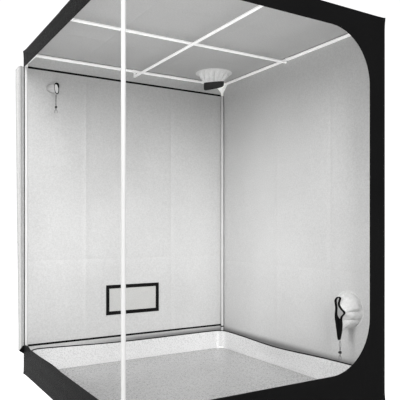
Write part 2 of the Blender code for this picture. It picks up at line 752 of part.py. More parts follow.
def smooth_route(route, count):
    """Evenly counted points on a Catmull-Rom curve through the route's own points."""
    knots = [Vector(point) for point in route]
    knots = [2 * knots[0] - knots[1]] + knots + [2 * knots[-1] - knots[-2]]
    spans = len(knots) - 3
    points = []
    for i in range(count):
        place = i / (count - 1) * spans
        k = min(int(place), spans - 1)
        t = place - k
        p0, p1, p2, p3 = knots[k : k + 4]
        bend = (2 * p0 - 5 * p1 + 4 * p2 - p3) * t * t + (3 * p1 - p0 - 3 * p2 + p3) * t * t * t
        points.append((2 * p1 + (p2 - p0) * t + bend) / 2)
    return points


def cord(name, drop, look, location, rotation, parent=None):
    """Local X lies across the two strands. The fold of the cord is at the origin, under the hem."""
    lock_top = -drop
    lock_foot = lock_top - LOCK_HEIGHT
    half = [(0, -CORD_DIAMETER / 2), (CORD_SPREAD, -CORD_DIAMETER)]
    half += [(CORD_BELLY * spread, -drop * fall) for fall, spread in CORD_BELLY_SHARES]
    half += [
        (CORD_SPREAD, lock_top + LOCK_TRAVEL + FIT),
        (CORD_SPREAD, lock_foot - LOCK_TRAVEL - FIT),
        (CORD_END_SPREAD, lock_foot - (LOCK_TRAVEL + CORD_TAIL) / 2),
        (CORD_END_SPREAD, lock_foot - CORD_TAIL),
    ]
    right = [(x, 0, z) for x, z in half]
    left = [(-x, 0, z) for x, z in reversed(half[1:])]
    points = smooth_route(left + right, CORD_POINTS)
    curve = bpy.data.curves.new(name, "CURVE")
    curve.dimensions = "3D"
    curve.bevel_depth = CORD_DIAMETER / 2
    curve.bevel_resolution = CORD_BEVEL_STEPS
    curve.use_fill_caps = True
    spline = curve.splines.new("POLY")
    spline.points.add(len(points) - 1)
    for target, point in zip(spline.points, points):
        target.co = (*point, 1)
    add_object(name, curve, look, location, rotation, parent)


def cord_lock(name, drop, body_look, button_look, location, rotation, parent=None):
    """A block on the strands, with a button on its -Y side that pushes in along +Y."""
    middle = -drop - LOCK_HEIGHT / 2
    carrier = pivot(name + "_slide", location, parent)
    carrier.rotation_euler = rotation
    half = (LOCK_WIDTH / 2, LOCK_DEPTH / 2, LOCK_HEIGHT / 2)
    block = box_mesh(name, [-size for size in half], half)
    body = add_object(name, block, body_look, (0, 0, middle), parent=carrier)
    rounding = body.modifiers.new("edges", "BEVEL")
    rounding.width = LOCK_EDGE
    rounding.segments = 2
    plunger_radius = PLUNGER_DIAMETER / 2
    inner = -LOCK_DEPTH / 2 + LOCK_EDGE / 2
    bore_length = LOCK_DEPTH / 2 - inner + OVERRUN
    bore = revolved_mesh(
        name + "_bore",
        [(0, bore_length), (plunger_radius + FIT, bore_length), (plunger_radius + FIT, 0), (0, 0)],
        TUBE_SIDES,
    )
    bore.transform(Matrix.Rotation(math.pi / 2, 4, "X"))
    bore.transform(Matrix.Translation((0, -inner, 0)))
    boolean(body, cutter(name + "_bore", bore, (0, 0, middle), parent=carrier), "DIFFERENCE")
    slot_x = CORD_SPREAD + CORD_DIAMETER / 2 + FIT
    slot_y = CORD_DIAMETER / 2 + FIT
    slot = box_mesh(name + "_slot", (-slot_x, -slot_y, -LOCK_HEIGHT), (slot_x, slot_y, LOCK_HEIGHT))
    boolean(body, cutter(name + "_slot", slot, (0, 0, middle), parent=carrier), "DIFFERENCE")
    deep = -inner - FIT - PLUNGER_TRAVEL
    out = -LOCK_DEPTH / 2 - PLUNGER_HEAD
    profile = [(0, deep), (plunger_radius, deep), (plunger_radius, out + LOCK_EDGE / 2)]
    profile += [(plunger_radius - LOCK_EDGE / 2, out), (0, out)]
    rod = revolved_mesh(name + "_plunger", profile, TUBE_SIDES)
    rod.transform(Matrix.Rotation(-math.pi / 2, 4, "X"))
    plunger = add_object(name + "_plunger", rod, button_look, (0, 0, middle), parent=carrier)
    window = box_mesh(
        name + "_window", (-slot_x, -slot_y - PLUNGER_TRAVEL, -LOCK_HEIGHT), (slot_x, slot_y, LOCK_HEIGHT)
    )
    boolean(plunger, cutter(name + "_window", window, (0, 0, middle), parent=carrier), "DIFFERENCE")


def cable_drawcord(cord_look, lock_look, button_look, hinge, level):
    reach = CLOTH + FIT + CABLE_PORT_LENGTH + CABLE_HEM / 2
    place = (CABLE_PORT_X + CABLE_LEAN - hinge.location.x, -reach, level)
    cord("cable_port_cord", CABLE_CORD_DROP, cord_look, place, (0, 0, 0), hinge)
    cord_lock("cable_port_lock", CABLE_CORD_DROP, lock_look, button_look, place, (0, 0, 0), hinge)


def wall_drawcord(cord_look, lock_look, button_look, level):
    reach = CLOTH + FIT + WALL_DUCT_LENGTH + WALL_HEM / 2
    place = (WALL_X - reach, WALL_DUCT_Y - WALL_LEAN, level)
    turn = (0, 0, -math.pi / 2)
    cord("wall_duct_cord", WALL_CORD_DROP, cord_look, place, turn)
    cord_lock("wall_duct_lock", WALL_CORD_DROP, lock_look, button_look, place, turn)


# Sliders of the rear zip: one on the bottom run, one on the upright run.


def zip_slider(name, look, location, rotation):
    """A plate with two lugs and a pin across it. Local X runs along the chain and Y points off the wall."""
    carrier = pivot(name + "_slide", location)
    carrier.rotation_euler = rotation
    width = ZIP_WIDTH / 2 - FIT
    length = SLIDER_LENGTH / 2
    inside = PULL_WIDTH * PULL_NECK_SHARE / 2 + FIT
    plate = box_mesh(name, (-length, 0, -width), (length, SLIDER_PLATE, width))
    body = add_object(name, plate, look, parent=carrier)
    for side in (-1, 1):
        near, far = sorted((side * inside, side * (inside + SLIDER_LUG)))
        reach = PIN_LEVEL + SLIDER_LUG
        lug = box_mesh(name + "_lug", (-SLIDER_LUG, SLIDER_PLATE / 2, near), (SLIDER_LUG, reach, far))
        boolean(body, cutter(f"{name}_lug_{side}", lug, parent=carrier), "UNION")
    pin = revolved_mesh(name + "_pin", round_rod(SLIDER_PIN / 2, inside + SLIDER_LUG / 2), TUBE_SIDES)
    boolean(body, cutter(name + "_pin", pin, (0, PIN_LEVEL, 0), parent=carrier), "UNION")
    return carrier


def zip_pull(name, look, carrier):
    """A flat tab along local -X whose round eye hangs on the slider's pin."""
    swing = pivot(name + "_hinge", (0, PIN_LEVEL, 0), carrier)
    neck = PULL_WIDTH * PULL_NECK_SHARE / 2
    half = PULL_WIDTH / 2
    profile = [(PULL_RIM, neck), (PULL_RIM, -neck), (PULL_EYE, -neck), (PULL_EYE, neck)]
    barrel = revolved_mesh(name, profile, TUBE_SIDES)
    body = add_object(name, barrel, look, parent=swing)
    root = -(PULL_EYE + PULL_RIM) / 2
    shoulder = PULL_NECK_LENGTH + PULL_TAPER
    edge = [(root, neck), (-PULL_NECK_LENGTH, neck), (-shoulder, half), (-PULL_LENGTH, half)]
    tab = edge + [(x, -z) for x, z in reversed(edge)]
    plate = extruded_mesh(name + "_tab", tab, PULL_THICKNESS)
    plate.transform(Matrix.Rotation(math.pi / 2, 4, "X"))
    boolean(body, cutter(name + "_tab", plate, (0, PULL_THICKNESS / 2, 0), parent=swing), "UNION")


def rear_zip_sliders(look):
    face = (WALL_Y + INNER_Y + ZIP_THICKNESS) / 2 + FIT
    chain_x = CORNER_STRIP + ZIP_WIDTH / 2 - WALL_X
    low = zip_slider("zip_slider_low", look, (chain_x + SLIDER_PARKING, face, SILL_HEIGHT), (0, 0, 0))
    zip_pull("zip_pull_low", look, low)
    upright = (0, -math.pi / 2, 0)
    side = zip_slider("zip_slider_side", look, (chain_x, face, SILL_HEIGHT + SLIDER_PARKING), upright)
    zip_pull("zip_pull_side", look, side)


# Rolled door.


def roll_section(radius, drawn_in):
    """A spiral turn with soft folds, against the seam. The side away from the tent can be drawn in."""
    points = []
    for i in range(ROLL_SIDES):
        share = i / ROLL_SIDES
        angle = math.tau * share
        reach = radius - ROLL_TURN_STEP * (1 - share) - ROLL_FOLD * (1 - math.cos(ROLL_FOLDS * angle))
        turned = angle + math.radians(ROLL_EDGE_DEGREES)
        x = reach * math.cos(turned)
        x = x * (1 - drawn_in) if x < 0 else x
        points.append((x, reach * math.sin(turned)))
    widest = max(x for x, y in points)
    return [(x - widest, y) for x, y in points]


def roll_mesh(radius, bottom, top):
    """The last levels round off the upper outer shoulder."""
    levels = [(between(bottom, top, rise), drawn_in) for rise, drawn_in in ROLL_LEVEL_SHARES]
    for i in range(ROLL_SHOULDER_STEPS + 1):
        rise = i / ROLL_SHOULDER_STEPS
        drawn_in = 1 - math.sqrt(1 - ROLL_SHOULDER_SHARE * rise * rise)
        levels.append((top - ROLL_SHOULDER * (1 - rise), drawn_in))
    sections = [[(x, y, height) for x, y in roll_section(radius, drawn_in)] for height, drawn_in in levels]
    return loft_mesh("door_roll", sections, 35)


def door_roll(look, tape_look, fold_look):
    """The door sheet is rolled up outside the rear left corner, where a seam tape joins it to the cover."""
    seam_x = -WALL_X - FIT - SEAM_TAPE_WIDTH
    axis = pivot("door_roll_hinge", (seam_x - FIT, WALL_Y, 0))
    radius = ROLL_DIAMETER / 2
    add_object("door_roll", roll_mesh(radius, ROLL_BOTTOM, DOOR_TOP - ROLL_TOP_GAP), look, parent=axis)
    low, high = (seam_x, INNER_Y, SILL_HEIGHT), (-WALL_X - FIT, WALL_Y, DOOR_TOP)
    add_object("door_seam_tape", box_mesh("door_seam_tape", low, high), tape_look)
    root = SEAM_TAPE_WIDTH - FIT
    tip = (root - CORNER_FOLD_REACH, -CORNER_FOLD_HEIGHT * CORNER_FOLD_SHARE)
    outline = [(root, 0), tip, (root, -CORNER_FOLD_HEIGHT)]
    fold = extruded_mesh("door_corner_fold", outline, CORNER_FOLD_THICKNESS)
    place = (0, -radius - FIT, SILL_HEIGHT + CLOTH)
    add_object("door_corner_fold", fold, fold_look, place, (math.pi / 2, 0, 0), axis)


# Floor tray.


def tray_outline(inset, sag_share, height):
    """A rounded rectangle. Each straight side bows inwards by its own sag."""
    half_x = POST_X - TUBE_RADIUS - RUNNING_GAP
    half_y = POST_Y - TUBE_RADIUS - RUNNING_GAP
    straight_x = half_x - TRAY_CORNER_RADIUS
    straight_y = half_y - TRAY_CORNER_RADIUS
    sides = (
        (straight_y, half_x, TRAY_SAG_RIGHT),
        (straight_x, half_y, TRAY_SAG_BACK),
        (straight_y, half_x, TRAY_SAG_LEFT),
        (straight_x, half_y, TRAY_SAG_FRONT),
    )
    points = []
    for turn, (straight, reach, sag) in enumerate(sides):
        spin = Matrix.Rotation(turn * math.pi / 2, 3, "Z")
        for i in range(TRAY_SIDE_STEPS + 1):
            share = i / TRAY_SIDE_STEPS
            bow = sag * sag_share * math.sin(math.pi * share) ** 2
            points.append(spin @ Vector((reach - inset - bow, between(-straight, straight, share), height)))
        for angle in range(1, TRAY_CORNER_STEPS):
            turned = math.pi / 2 * angle / TRAY_CORNER_STEPS
            corner = Vector((reach - TRAY_CORNER_RADIUS, straight, height))
            radius = TRAY_CORNER_RADIUS - inset
            points.append(spin @ (corner + Vector((radius * math.cos(turned), radius * math.sin(turned), 0))))
    return points


def floor_tray(look, binding_look):
    floor = CLOTH + FIT
    top = floor + TRAY_WALL
    middle = floor + TRAY_WALL / 2
    sections = [
        tray_outline(0, 0, floor),
        tray_outline(TRAY_LEAN / 2, TRAY_MIDDLE_SAG_SHARE, middle),
        tray_outline(TRAY_LEAN, 1, top),
        tray_outline(TRAY_LEAN + CLOTH, 1, top),
        tray_outline(TRAY_LEAN / 2 + CLOTH, TRAY_MIDDLE_SAG_SHARE, middle),
        tray_outline(CLOTH, 0, floor + CLOTH),
    ]
    add_object("floor_tray", loft_mesh("floor_tray", sections, 40), look)
    side = (BINDING_THICKNESS - CLOTH) / 2
    low, high = top + FIT, top + FIT + TRAY_BINDING
    near, far = TRAY_LEAN - side, TRAY_LEAN + CLOTH + side
    rim = [tray_outline(inset, 1, z) for inset, z in ((near, low), (near, high), (far, high), (far, low))]
    add_object("tray_binding", loft_mesh("tray_binding", rim, 40, closed_loop=True), binding_look)


def post_strap(look):
    inner = TUBE_RADIUS + FIT
    outer = inner + STRAP_THICKNESS
    profile = [(outer, STRAP_HEIGHT), (outer, 0), (inner, 0), (inner, STRAP_HEIGHT)]
    ring = revolved_mesh("post_strap", profile, TUBE_SIDES)
    add_object("post_strap", ring, look, (POST_X, POST_Y, STRAP_LEVEL - STRAP_HEIGHT / 2))


def main():
    clear_scene()
    steel = material("white_steel", (0.86, 0.86, 0.85), 0.35)
    plastic = material("white_plastic", (0.75, 0.75, 0.73), 0.5)
    cloth = material("black_cloth", (0.012, 0.012, 0.013), 0.75)
    liner = material("silver_liner", (0.62, 0.62, 0.61), 0.45)
    trim = material("black_trim", (0.01, 0.01, 0.01), 0.6)
    net = material("grey_net", (0.6, 0.6, 0.59), 0.8)
    drawcord = material("grey_cord", (0.12, 0.12, 0.12), 0.8)
    nickel = material("nickel", (0.55, 0.55, 0.56), 0.3, 1.0)
    tray_cloth = material("pale_tray_cloth", (0.78, 0.78, 0.78), 0.5)
    connectors(plastic)
    posts(steel)
    rails(steel)
    lamp_bar("lamp_bar_across", POST_X, BAR_DROP, steel, (0, 0, 0))
    lamp_bar("lamp_bar_deep", POST_Y, SECOND_BAR_DROP, steel, (0, 0, math.pi / 2))
    roof(cloth)
    ground_sheet(cloth)
    right_wall(cloth)
    front_wall(cloth)
    left_bands(cloth)
    back_wall(cloth)
    rear_zip(trim)
    hinge = rear_panel_hinge()
    rear_panel(cloth, hinge)
    vent_window(trim, net, cloth, hinge)
    roof_duct(liner, trim)
    wall_low = wall_duct(liner, trim)
    cable_low = cable_port(liner, trim, hinge)
    cable_drawcord(drawcord, trim, trim, hinge, cable_low)
    wall_drawcord(drawcord, trim, trim, wall_low)
    rear_zip_sliders(nickel)
    door_roll(liner, trim, cloth)
    floor_tray(tray_cloth, trim)
    post_strap(trim)


main()
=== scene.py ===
"""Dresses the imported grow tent: its steel, plastic and sewn pieces, on a pale studio floor in soft light."""
import math

import bmesh
import bpy
from mathutils import Matrix, Vector, noise


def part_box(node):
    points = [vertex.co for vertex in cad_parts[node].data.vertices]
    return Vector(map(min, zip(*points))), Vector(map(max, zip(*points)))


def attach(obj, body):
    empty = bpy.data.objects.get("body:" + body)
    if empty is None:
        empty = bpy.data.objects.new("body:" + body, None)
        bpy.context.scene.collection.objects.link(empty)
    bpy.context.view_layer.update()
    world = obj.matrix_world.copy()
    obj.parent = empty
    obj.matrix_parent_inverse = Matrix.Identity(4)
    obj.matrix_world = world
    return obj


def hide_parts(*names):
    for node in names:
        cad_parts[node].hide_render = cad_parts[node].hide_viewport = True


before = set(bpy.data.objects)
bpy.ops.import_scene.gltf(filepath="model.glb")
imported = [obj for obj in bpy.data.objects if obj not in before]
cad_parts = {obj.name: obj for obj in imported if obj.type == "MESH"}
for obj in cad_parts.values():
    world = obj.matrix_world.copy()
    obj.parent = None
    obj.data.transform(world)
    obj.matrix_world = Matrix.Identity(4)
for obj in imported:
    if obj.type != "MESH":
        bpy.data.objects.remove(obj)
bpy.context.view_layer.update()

# Studio
# The camera stands at the photograph's place, level, a little left of the open front corner.
# Two large lamps, one before each open side, and a dim white surround light it on a plain pale floor.
CAMERA_PLACE = (-1.604, -2.6815, 0.9068)
CAMERA_TURN = math.radians(-30.39)
CAMERA_LENS = 49.075
CAMERA_SHIFT = (0.0400, 0.0697)
SURROUND_LIGHT = 0.14
BACKGROUND_LIGHT = 1.05
LAMPS = {"front_lamp": ((-1.4, -8.6, 4.7), 1110.0), "left_lamp": ((-8.5, 0.6, 4.6), 770.0)}
LAMP_TARGET = (0.0, 0.0, 0.9)
LAMP_SIZE = (5.0, 5.6)
FLOOR_SIZE = 60.0
FLOOR_DROP = 0.0015

scene = bpy.context.scene
scene.view_settings.view_transform = "Standard"
camera = bpy.data.objects.new("camera", bpy.data.cameras.new("camera"))
camera.location = CAMERA_PLACE
camera.rotation_euler = (math.pi / 2, 0, CAMERA_TURN)
camera.data.lens = CAMERA_LENS
camera.data.shift_x, camera.data.shift_y = CAMERA_SHIFT
scene.collection.objects.link(camera)
scene.camera = camera


def join(tree, node, wires):
    """Joins each named socket of a node to a socket, or sets it to a value."""
    for socket, value in wires.items():
        if isinstance(value, bpy.types.NodeSocket):
            tree.links.new(value, node.inputs[socket])
        else:
            node.inputs[socket].default_value = value


def add(tree, kind, wires=None, **settings):
    """A new shader node with its settings, and its sockets joined or set."""
    made = tree.nodes.new("ShaderNode" + kind)
    for setting, value in settings.items():
        setattr(made, setting, value)
    join(tree, made, wires or {})
    return made


def reckon(tree, operation, *values):
    """One step of arithmetic with sockets and values."""
    return add(tree, "Math", dict(enumerate(values)), operation=operation).outputs[0]


def mix(tree, share, first, second, blend="MIX"):
    """Two colours mixed, or multiplied."""
    wires = {"Factor": share, "A": first, "B": second}
    return add(tree, "Mix", wires, data_type="RGBA", blend_type=blend).outputs["Result"]


def finish(name, fixed):
    """A new material with its fixed values on its own shader."""
    made = bpy.data.materials.new(name)
    made.use_nodes = True
    shader = made.node_tree.nodes["Principled BSDF"]
    join(made.node_tree, shader, fixed)
    return made, made.node_tree, shader


def effect(name, inputs, outputs):
    """A shader group for one surface effect, and its object coordinates."""
    group = bpy.data.node_groups.new(name, "ShaderNodeTree")
    for label, value in inputs.items():
        kind = "NodeSocketColor" if isinstance(value, tuple) else "NodeSocketFloat"
        group.interface.new_socket(label, in_out="INPUT", socket_type=kind).default_value = value
    for label, kind in outputs.items():
        group.interface.new_socket(label, in_out="OUTPUT", socket_type=kind)
    ends = group.nodes.new("NodeGroupInput"), group.nodes.new("NodeGroupOutput")
    return group, ends[0].outputs, ends[1].inputs, add(group, "TexCoord").outputs["Object"]


def use(tree, group, wires):
    """Places an effect in a material."""
    return add(tree, "Group", wires, node_tree=group).outputs


scene.world = bpy.data.worlds.new("surround")
scene.world.use_nodes = True
surround = scene.world.node_tree
seen = add(
    surround, "Mix",
    {"Factor": add(surround, "LightPath").outputs["Is Camera Ray"], "A": SURROUND_LIGHT, "B": BACKGROUND_LIGHT},
)
join(surround, surround.nodes["Background"], {"Color": (1, 1, 1, 1), "Strength": seen.outputs["Result"]})

for name, (lamp_place, power) in LAMPS.items():
    lamp = bpy.data.objects.new(name, bpy.data.lights.new(name, "AREA"))
    lamp.data.shape = "RECTANGLE"
    lamp.data.size, lamp.data.size_y = LAMP_SIZE
    lamp.data.energy = power
    lamp.location = lamp_place
    lamp.rotation_euler = (Vector(LAMP_TARGET) - lamp.location).to_track_quat("-Z", "Y").to_euler()
    scene.collection.objects.link(lamp)

# Fine grain, from 0 to 1, for plastic, paint and film.
grain, grain_in, grain_out, place = effect("fine_grain", {"Scale": 300.0}, {"Grain": "NodeSocketFloat"})
speck = add(grain, "TexNoise", {"Vector": place, "Scale": grain_in["Scale"], "Detail": 3.0})
grain.links.new(speck.outputs["Fac"], grain_out["Grain"])

# Soft patches of a second colour, as handling and dust leave them.
patches, patch_in, patch_out, place = effect(
    "soft_patches",
    {"Colour": (0.8, 0.8, 0.8, 1.0), "Patch Colour": (0.7, 0.7, 0.7, 1.0), "Scale": 4.0, "Amount": 0.5},
    {"Colour": "NodeSocketColor", "Mask": "NodeSocketFloat"},
)
cloud = add(patches, "TexNoise", {"Vector": place, "Scale": patch_in["Scale"], "Detail": 4.0})
spread = add(patches, "MapRange", {"Value": cloud.outputs["Fac"], "From Min": 0.38, "From Max": 0.68})
share = reckon(patches, "MULTIPLY", spread.outputs["Result"], patch_in["Amount"])
patches.links.new(mix(patches, share, patch_in["Colour"], patch_in["Patch Colour"]), patch_out["Colour"])
patches.links.new(share, patch_out["Mask"])

half = FLOOR_SIZE / 2
floor_mesh = bpy.data.meshes.new("studio_floor")
floor_corners = [(x * half, y * half, -FLOOR_DROP) for x, y in ((-1, -1), (1, -1), (1, 1), (-1, 1))]
floor_mesh.from_pydata(floor_corners, [], [(0, 1, 2, 3)])
floor_look, floor_tree, floor_shader = finish("pale_floor", {"Roughness": 0.9, "Emission Strength": 0.9})
floor_tone = use(
    floor_tree, patches, {"Colour": (0.86, 0.86, 0.86, 1), "Patch Colour": (0.83, 0.83, 0.83, 1), "Scale": 0.6}
)
seen = add(floor_tree, "LightPath").outputs["Is Camera Ray"]
floor_glow = mix(floor_tree, seen, (0.15, 0.15, 0.15, 1), (1, 1, 1, 1))
join(floor_tree, floor_shader, {"Base Color": floor_tone["Colour"], "Emission Color": floor_glow})
floor_mesh.materials.append(floor_look)
floor = bpy.data.objects.new("studio_floor", floor_mesh)
scene.collection.objects.link(floor)

# Corner connectors
# Each is one moulding of pale grey nylon: a hub with three arms at right angles and a web between
# each two. The frame's tubes push over a spigot on each arm.
TUBE_RADIUS = 0.0095
FRAME_PLACE = 0.736
LOW_RAIL = 0.014
HIGH_RAIL = 1.986
HUB_RADIUS = 0.0126
ARM_RADIUS = 0.0098
ARM_REACH = 0.080
COLLAR = (0.0106, 0.005)
WEB_LEG = 0.062
WEB_THICKNESS = 0.0085
MOULDING_CELL = 0.0013

def bump(tree, shader, height, strength, distance, under=None):
    """Raises a surface by a height. A second bump goes over the first one's normal."""
    made = add(tree, "Bump", {"Height": height, "Strength": strength, "Distance": distance})
    if under is not None:
        tree.links.new(under, made.inputs["Normal"])
    tree.links.new(made.outputs["Normal"], shader.inputs["Normal"])
    return made.outputs["Normal"]


def toned(name, fixed, colours, patch, texture, gloss, relief, under=None):
    """A finish in soft patches of two colours, whose fine texture shows in its gloss and its relief."""
    made, tree, shader = finish(name, fixed)
    tone = use(tree, patches, {"Colour": colours[0], "Patch Colour": colours[1], "Scale": patch[0], "Amount": patch[1]})
    group, wires, lowest = texture
    fine = use(tree, group, wires)[0]
    rough = add(tree, "MapRange", {"Value": fine, "From Min": lowest, "To Min": gloss[0], "To Max": gloss[1]})
    join(tree, shader, {"Base Color": tone["Colour"], "Roughness": rough.outputs["Result"]})
    soft = bump(tree, shader, use(tree, *under[:2])[0], *under[2:]) if under else None
    bump(tree, shader, fine, *relief, soft)
    return made


# The nylon's pale grey is its own colour. Its faint white emission is a painted glow that lightens the connectors.
nylon = toned(
    "pale_nylon_painted_glow",
    {
        "Specular IOR Level": 0.4, "Subsurface Weight": 0.05, "Emission Color": (1, 1, 0.985, 1),
        "Emission Strength": 0.22,
    },
    ((0.82, 0.82, 0.80, 1), (0.75, 0.75, 0.73, 1)), (30.0, 0.6),
    texture=(grain, {"Scale": 900.0}, 0.0), gloss=(0.42, 0.56), relief=(0.25, 0.0004),
)


def bridge(shape, lower, upper):
    """Faces between two loops of a bmesh."""
    for i in range(len(lower)):
        j = (i + 1) % len(lower)
        shape.faces.new((lower[i], lower[j], upper[j], upper[i]))


def lathe(shape, profile, sides, turn=None):
    """Turns (radius, height) pairs about Z in a bmesh and closes both ends."""
    turn = turn or Matrix.Identity(4)
    angles = [math.tau * i / sides for i in range(sides)]
    rings = [
        [shape.verts.new(turn @ Vector((radius * math.cos(a), radius * math.sin(a), height))) for a in angles]
        for radius, height in profile
    ]
    for lower, upper in zip(rings, rings[1:]):
        bridge(shape, lower, upper)
    shape.faces.new(list(reversed(rings[0])))
    shape.faces.new(rings[-1])


def mesh_of(name, shape, sharp_degrees=35):
    """Turns a bmesh into a smooth-shaded mesh whose edges past the angle stay sharp."""
    bmesh.ops.recalc_face_normals(shape, faces=shape.faces)
    mesh = bpy.data.meshes.new(name)
    shape.to_mesh(mesh)
    shape.free()
    mesh.shade_smooth()
    mesh.set_sharp_from_angle(angle=math.radians(sharp_degrees))
    return mesh


def put(name, mesh, looks):
    """A piece in the scene, with its finishes."""
    made = bpy.data.objects.new(name, mesh)
    if not mesh.materials:
        for look in looks:
            mesh.materials.append(look)
    scene.collection.objects.link(made)
    return made


def settle(piece):
    """Puts the piece's modifiers into its mesh."""
    graph = bpy.context.evaluated_depsgraph_get()
    graph.update()
    mesh = bpy.data.meshes.new_from_object(piece.evaluated_get(graph))
    piece.modifiers.clear()
    piece.data = mesh
    mesh.name = piece.name
    return piece


def plate(shape, outline, thickness, turn=None):
    """A flat outline in X and Y, raised both ways along Z to the thickness."""
    turn = turn or Matrix.Identity(4)
    low = [shape.verts.new(turn @ Vector((x, y, -thickness / 2))) for x, y in outline]
    high = [shape.verts.new(turn @ Vector((x, y, thickness / 2))) for x, y in outline]
    shape.faces.new(list(reversed(low)))
    shape.faces.new(high)
    bridge(shape, low, high)


def quarter(steps=3):
    """The angles of a quarter turn in even steps."""
    return [math.pi / 2 * i / steps for i in range(steps + 1)]


def round_profile(radius, low, high, edge):
    """A rod's profile with rounded rims."""
    points = [(radius - edge + edge * math.sin(a), low + edge - edge * math.cos(a)) for a in quarter()]
    return points + [(radius - edge + edge * math.cos(a), high - edge + edge * math.sin(a)) for a in quarter()]


quarter_turn = math.pi / 2
unturned = Matrix.Identity(4)
across_x, back_x = Matrix.Rotation(quarter_turn, 4, "X"), Matrix.Rotation(-quarter_turn, 4, "X")
across_y, back_y = Matrix.Rotation(quarter_turn, 4, "Y"), Matrix.Rotation(-quarter_turn, 4, "Y")
moulding = bmesh.new()
bmesh.ops.create_uvsphere(moulding, u_segments=32, v_segments=20, radius=HUB_RADIUS)
for turn in (unturned, across_y, back_x):
    lathe(moulding, round_profile(ARM_RADIUS, -ARM_REACH, 0, 0.0008), 32, turn)
    lathe(moulding, round_profile(COLLAR[0], -ARM_REACH, COLLAR[1] - ARM_REACH, 0.001), 32, turn)
web = [(0.002, 0.002), (-WEB_LEG, 0.002), (-WEB_LEG, -0.008), (-0.008, -WEB_LEG), (0.002, -WEB_LEG)]
for turn in (unturned, across_x, back_y):
    plate(moulding, web, WEB_THICKNESS, turn)
moulded = put("moulded_connector", mesh_of("corner_connector", moulding), [nylon])
remesh = moulded.modifiers.new("one_body", "REMESH")
remesh.mode, remesh.voxel_size, remesh.use_smooth_shade = "VOXEL", MOULDING_CELL, True
soften = moulded.modifiers.new("moulded_edges", "SMOOTH")
soften.factor, soften.iterations = 0.5, 5
connector_mesh = settle(moulded).data
connector_mesh.materials.clear()
bpy.data.objects.remove(moulded)
corners = {"back_right": (1, 1, 0), "back_left": (-1, 1, 1), "front_left": (-1, -1, 2), "front_right": (1, -1, 3)}
for corner, (x_side, y_side, turn) in corners.items():
    for level, z, flip, extra in (("top", HIGH_RAIL, 0, 0), ("foot", LOW_RAIL, math.pi, quarter_turn)):
        piece = put(f"corner_{level}_{corner}", connector_mesh, [nylon])
        piece.location = (x_side * FRAME_PLACE, y_side * FRAME_PLACE, z)
        piece.rotation_euler = (flip, 0, turn * quarter_turn + extra)
        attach(piece, "tent")
        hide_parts(f"connector_{level}_{corner}")

# Posts and rails
# White powder-coated steel tube, 19 mm across. Each post is two tubes: the upper one's swaged end
# pushes into the lower one's slightly belled mouth.
POST_JOINT = 0.980
BELL = 0.0003
TUBE_RIM = 0.0006
JOINT_GAP = 0.0008
TUBE_SIDES = 40


def coated_steel(name, colours, painted_glow):
    """Powder coat: nearly white, half glossy, with a faint orange peel, and a painted glow from a white emission."""
    fixed = {"Specular IOR Level": 0.5, "Emission Color": (1, 1, 1, 1), "Emission Strength": painted_glow}
    peel = (grain, {"Scale": 420.0}, 0.0)
    return toned(name, fixed, colours, (9.0, 0.6), texture=peel, gloss=(0.3, 0.42), relief=(0.2, 0.0005))


# The rails, lamp bars and hooks glow faintly: painted light.
steel = coated_steel("white_coated_steel_painted_glow", ((0.97, 0.97, 0.965, 1), (0.93, 0.93, 0.92, 1)), 0.16)
# The posts take darker copies of the same coat, without its glow: painted shade. The front left post gets the darkest
# copy.
shaded_post_steel = coated_steel("white_coated_post_painted_shade", ((0.60, 0.60, 0.597, 1), (0.56, 0.56, 0.556, 1)), 0.0)
shaded_front_post_steel = coated_steel("white_coated_front_post_painted_shade", ((0.46, 0.46, 0.457, 1), (0.43, 0.43, 0.426, 1)), 0.0)


def tube(name, start, end, radius, bell_at_end=False, look=steel):
    """A closed tube from start to end, whose rims are rounded. The end can be belled."""
    start, end = Vector(start), Vector(end)
    length = (end - start).length
    profile = round_profile(radius, 0, length, TUBE_RIM)
    if bell_at_end:
        lip = radius + BELL
        profile = profile[:4] + [(radius, length - 0.012), (lip, length - 0.008)]
        profile += [(lip + TUBE_RIM * (math.cos(a) - 1), length + TUBE_RIM * (math.sin(a) - 1)) for a in quarter()]
    spin = (end - start).to_track_quat("Z", "Y").to_matrix().to_4x4()
    shape = bmesh.new()
    lathe(shape, profile, TUBE_SIDES, Matrix.Translation(start) @ spin)
    return put(name, mesh_of(name, shape), [look])


shoulder = ARM_REACH + 0.0003
upper_foot = POST_JOINT + JOINT_GAP
for corner, (x_side, y_side, turn) in corners.items():
    x, y = x_side * FRAME_PLACE, y_side * FRAME_PLACE
    # Painted shade: the posts take the darker copies of the coat, the front left one the darkest.
    look = shaded_front_post_steel if corner == "front_left" else shaded_post_steel
    lower = tube("tube_lower_" + corner, (x, y, LOW_RAIL + shoulder), (x, y, POST_JOINT), TUBE_RADIUS, True, look)
    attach(lower, "tent")
    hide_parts("post_lower_" + corner)
    upper = tube("tube_upper_" + corner, (x, y, upper_foot), (x, y, HIGH_RAIL - shoulder), TUBE_RADIUS, False, look)
    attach(upper, "tent")
    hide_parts("post_upper_" + corner)
    neck = bmesh.new()
    neck_profile = [(TUBE_RADIUS - 0.001, POST_JOINT - 0.004), (TUBE_RADIUS - 0.001, upper_foot + 0.002)]
    lathe(neck, neck_profile, 24, Matrix.Translation((x, y, 0)))
    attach(put("swage_" + corner, mesh_of("swage", neck), [look]), "tent")
for level, z in (("top", HIGH_RAIL), ("foot", LOW_RAIL)):
    for side, (x, y) in {"front": (0, -1), "back": (0, 1), "left": (-1, 0), "right": (1, 0)}.items():
        middle = Vector((x * FRAME_PLACE, y * FRAME_PLACE, z))
        half_length = Vector((abs(y), abs(x), 0)) * (FRAME_PLACE - shoulder)
        rail = tube(f"tube_{level}_{side}", middle - half_length, middle + half_length, TUBE_RADIUS)
        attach(rail, "tent")
        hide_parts(f"rail_{level}_{side}")

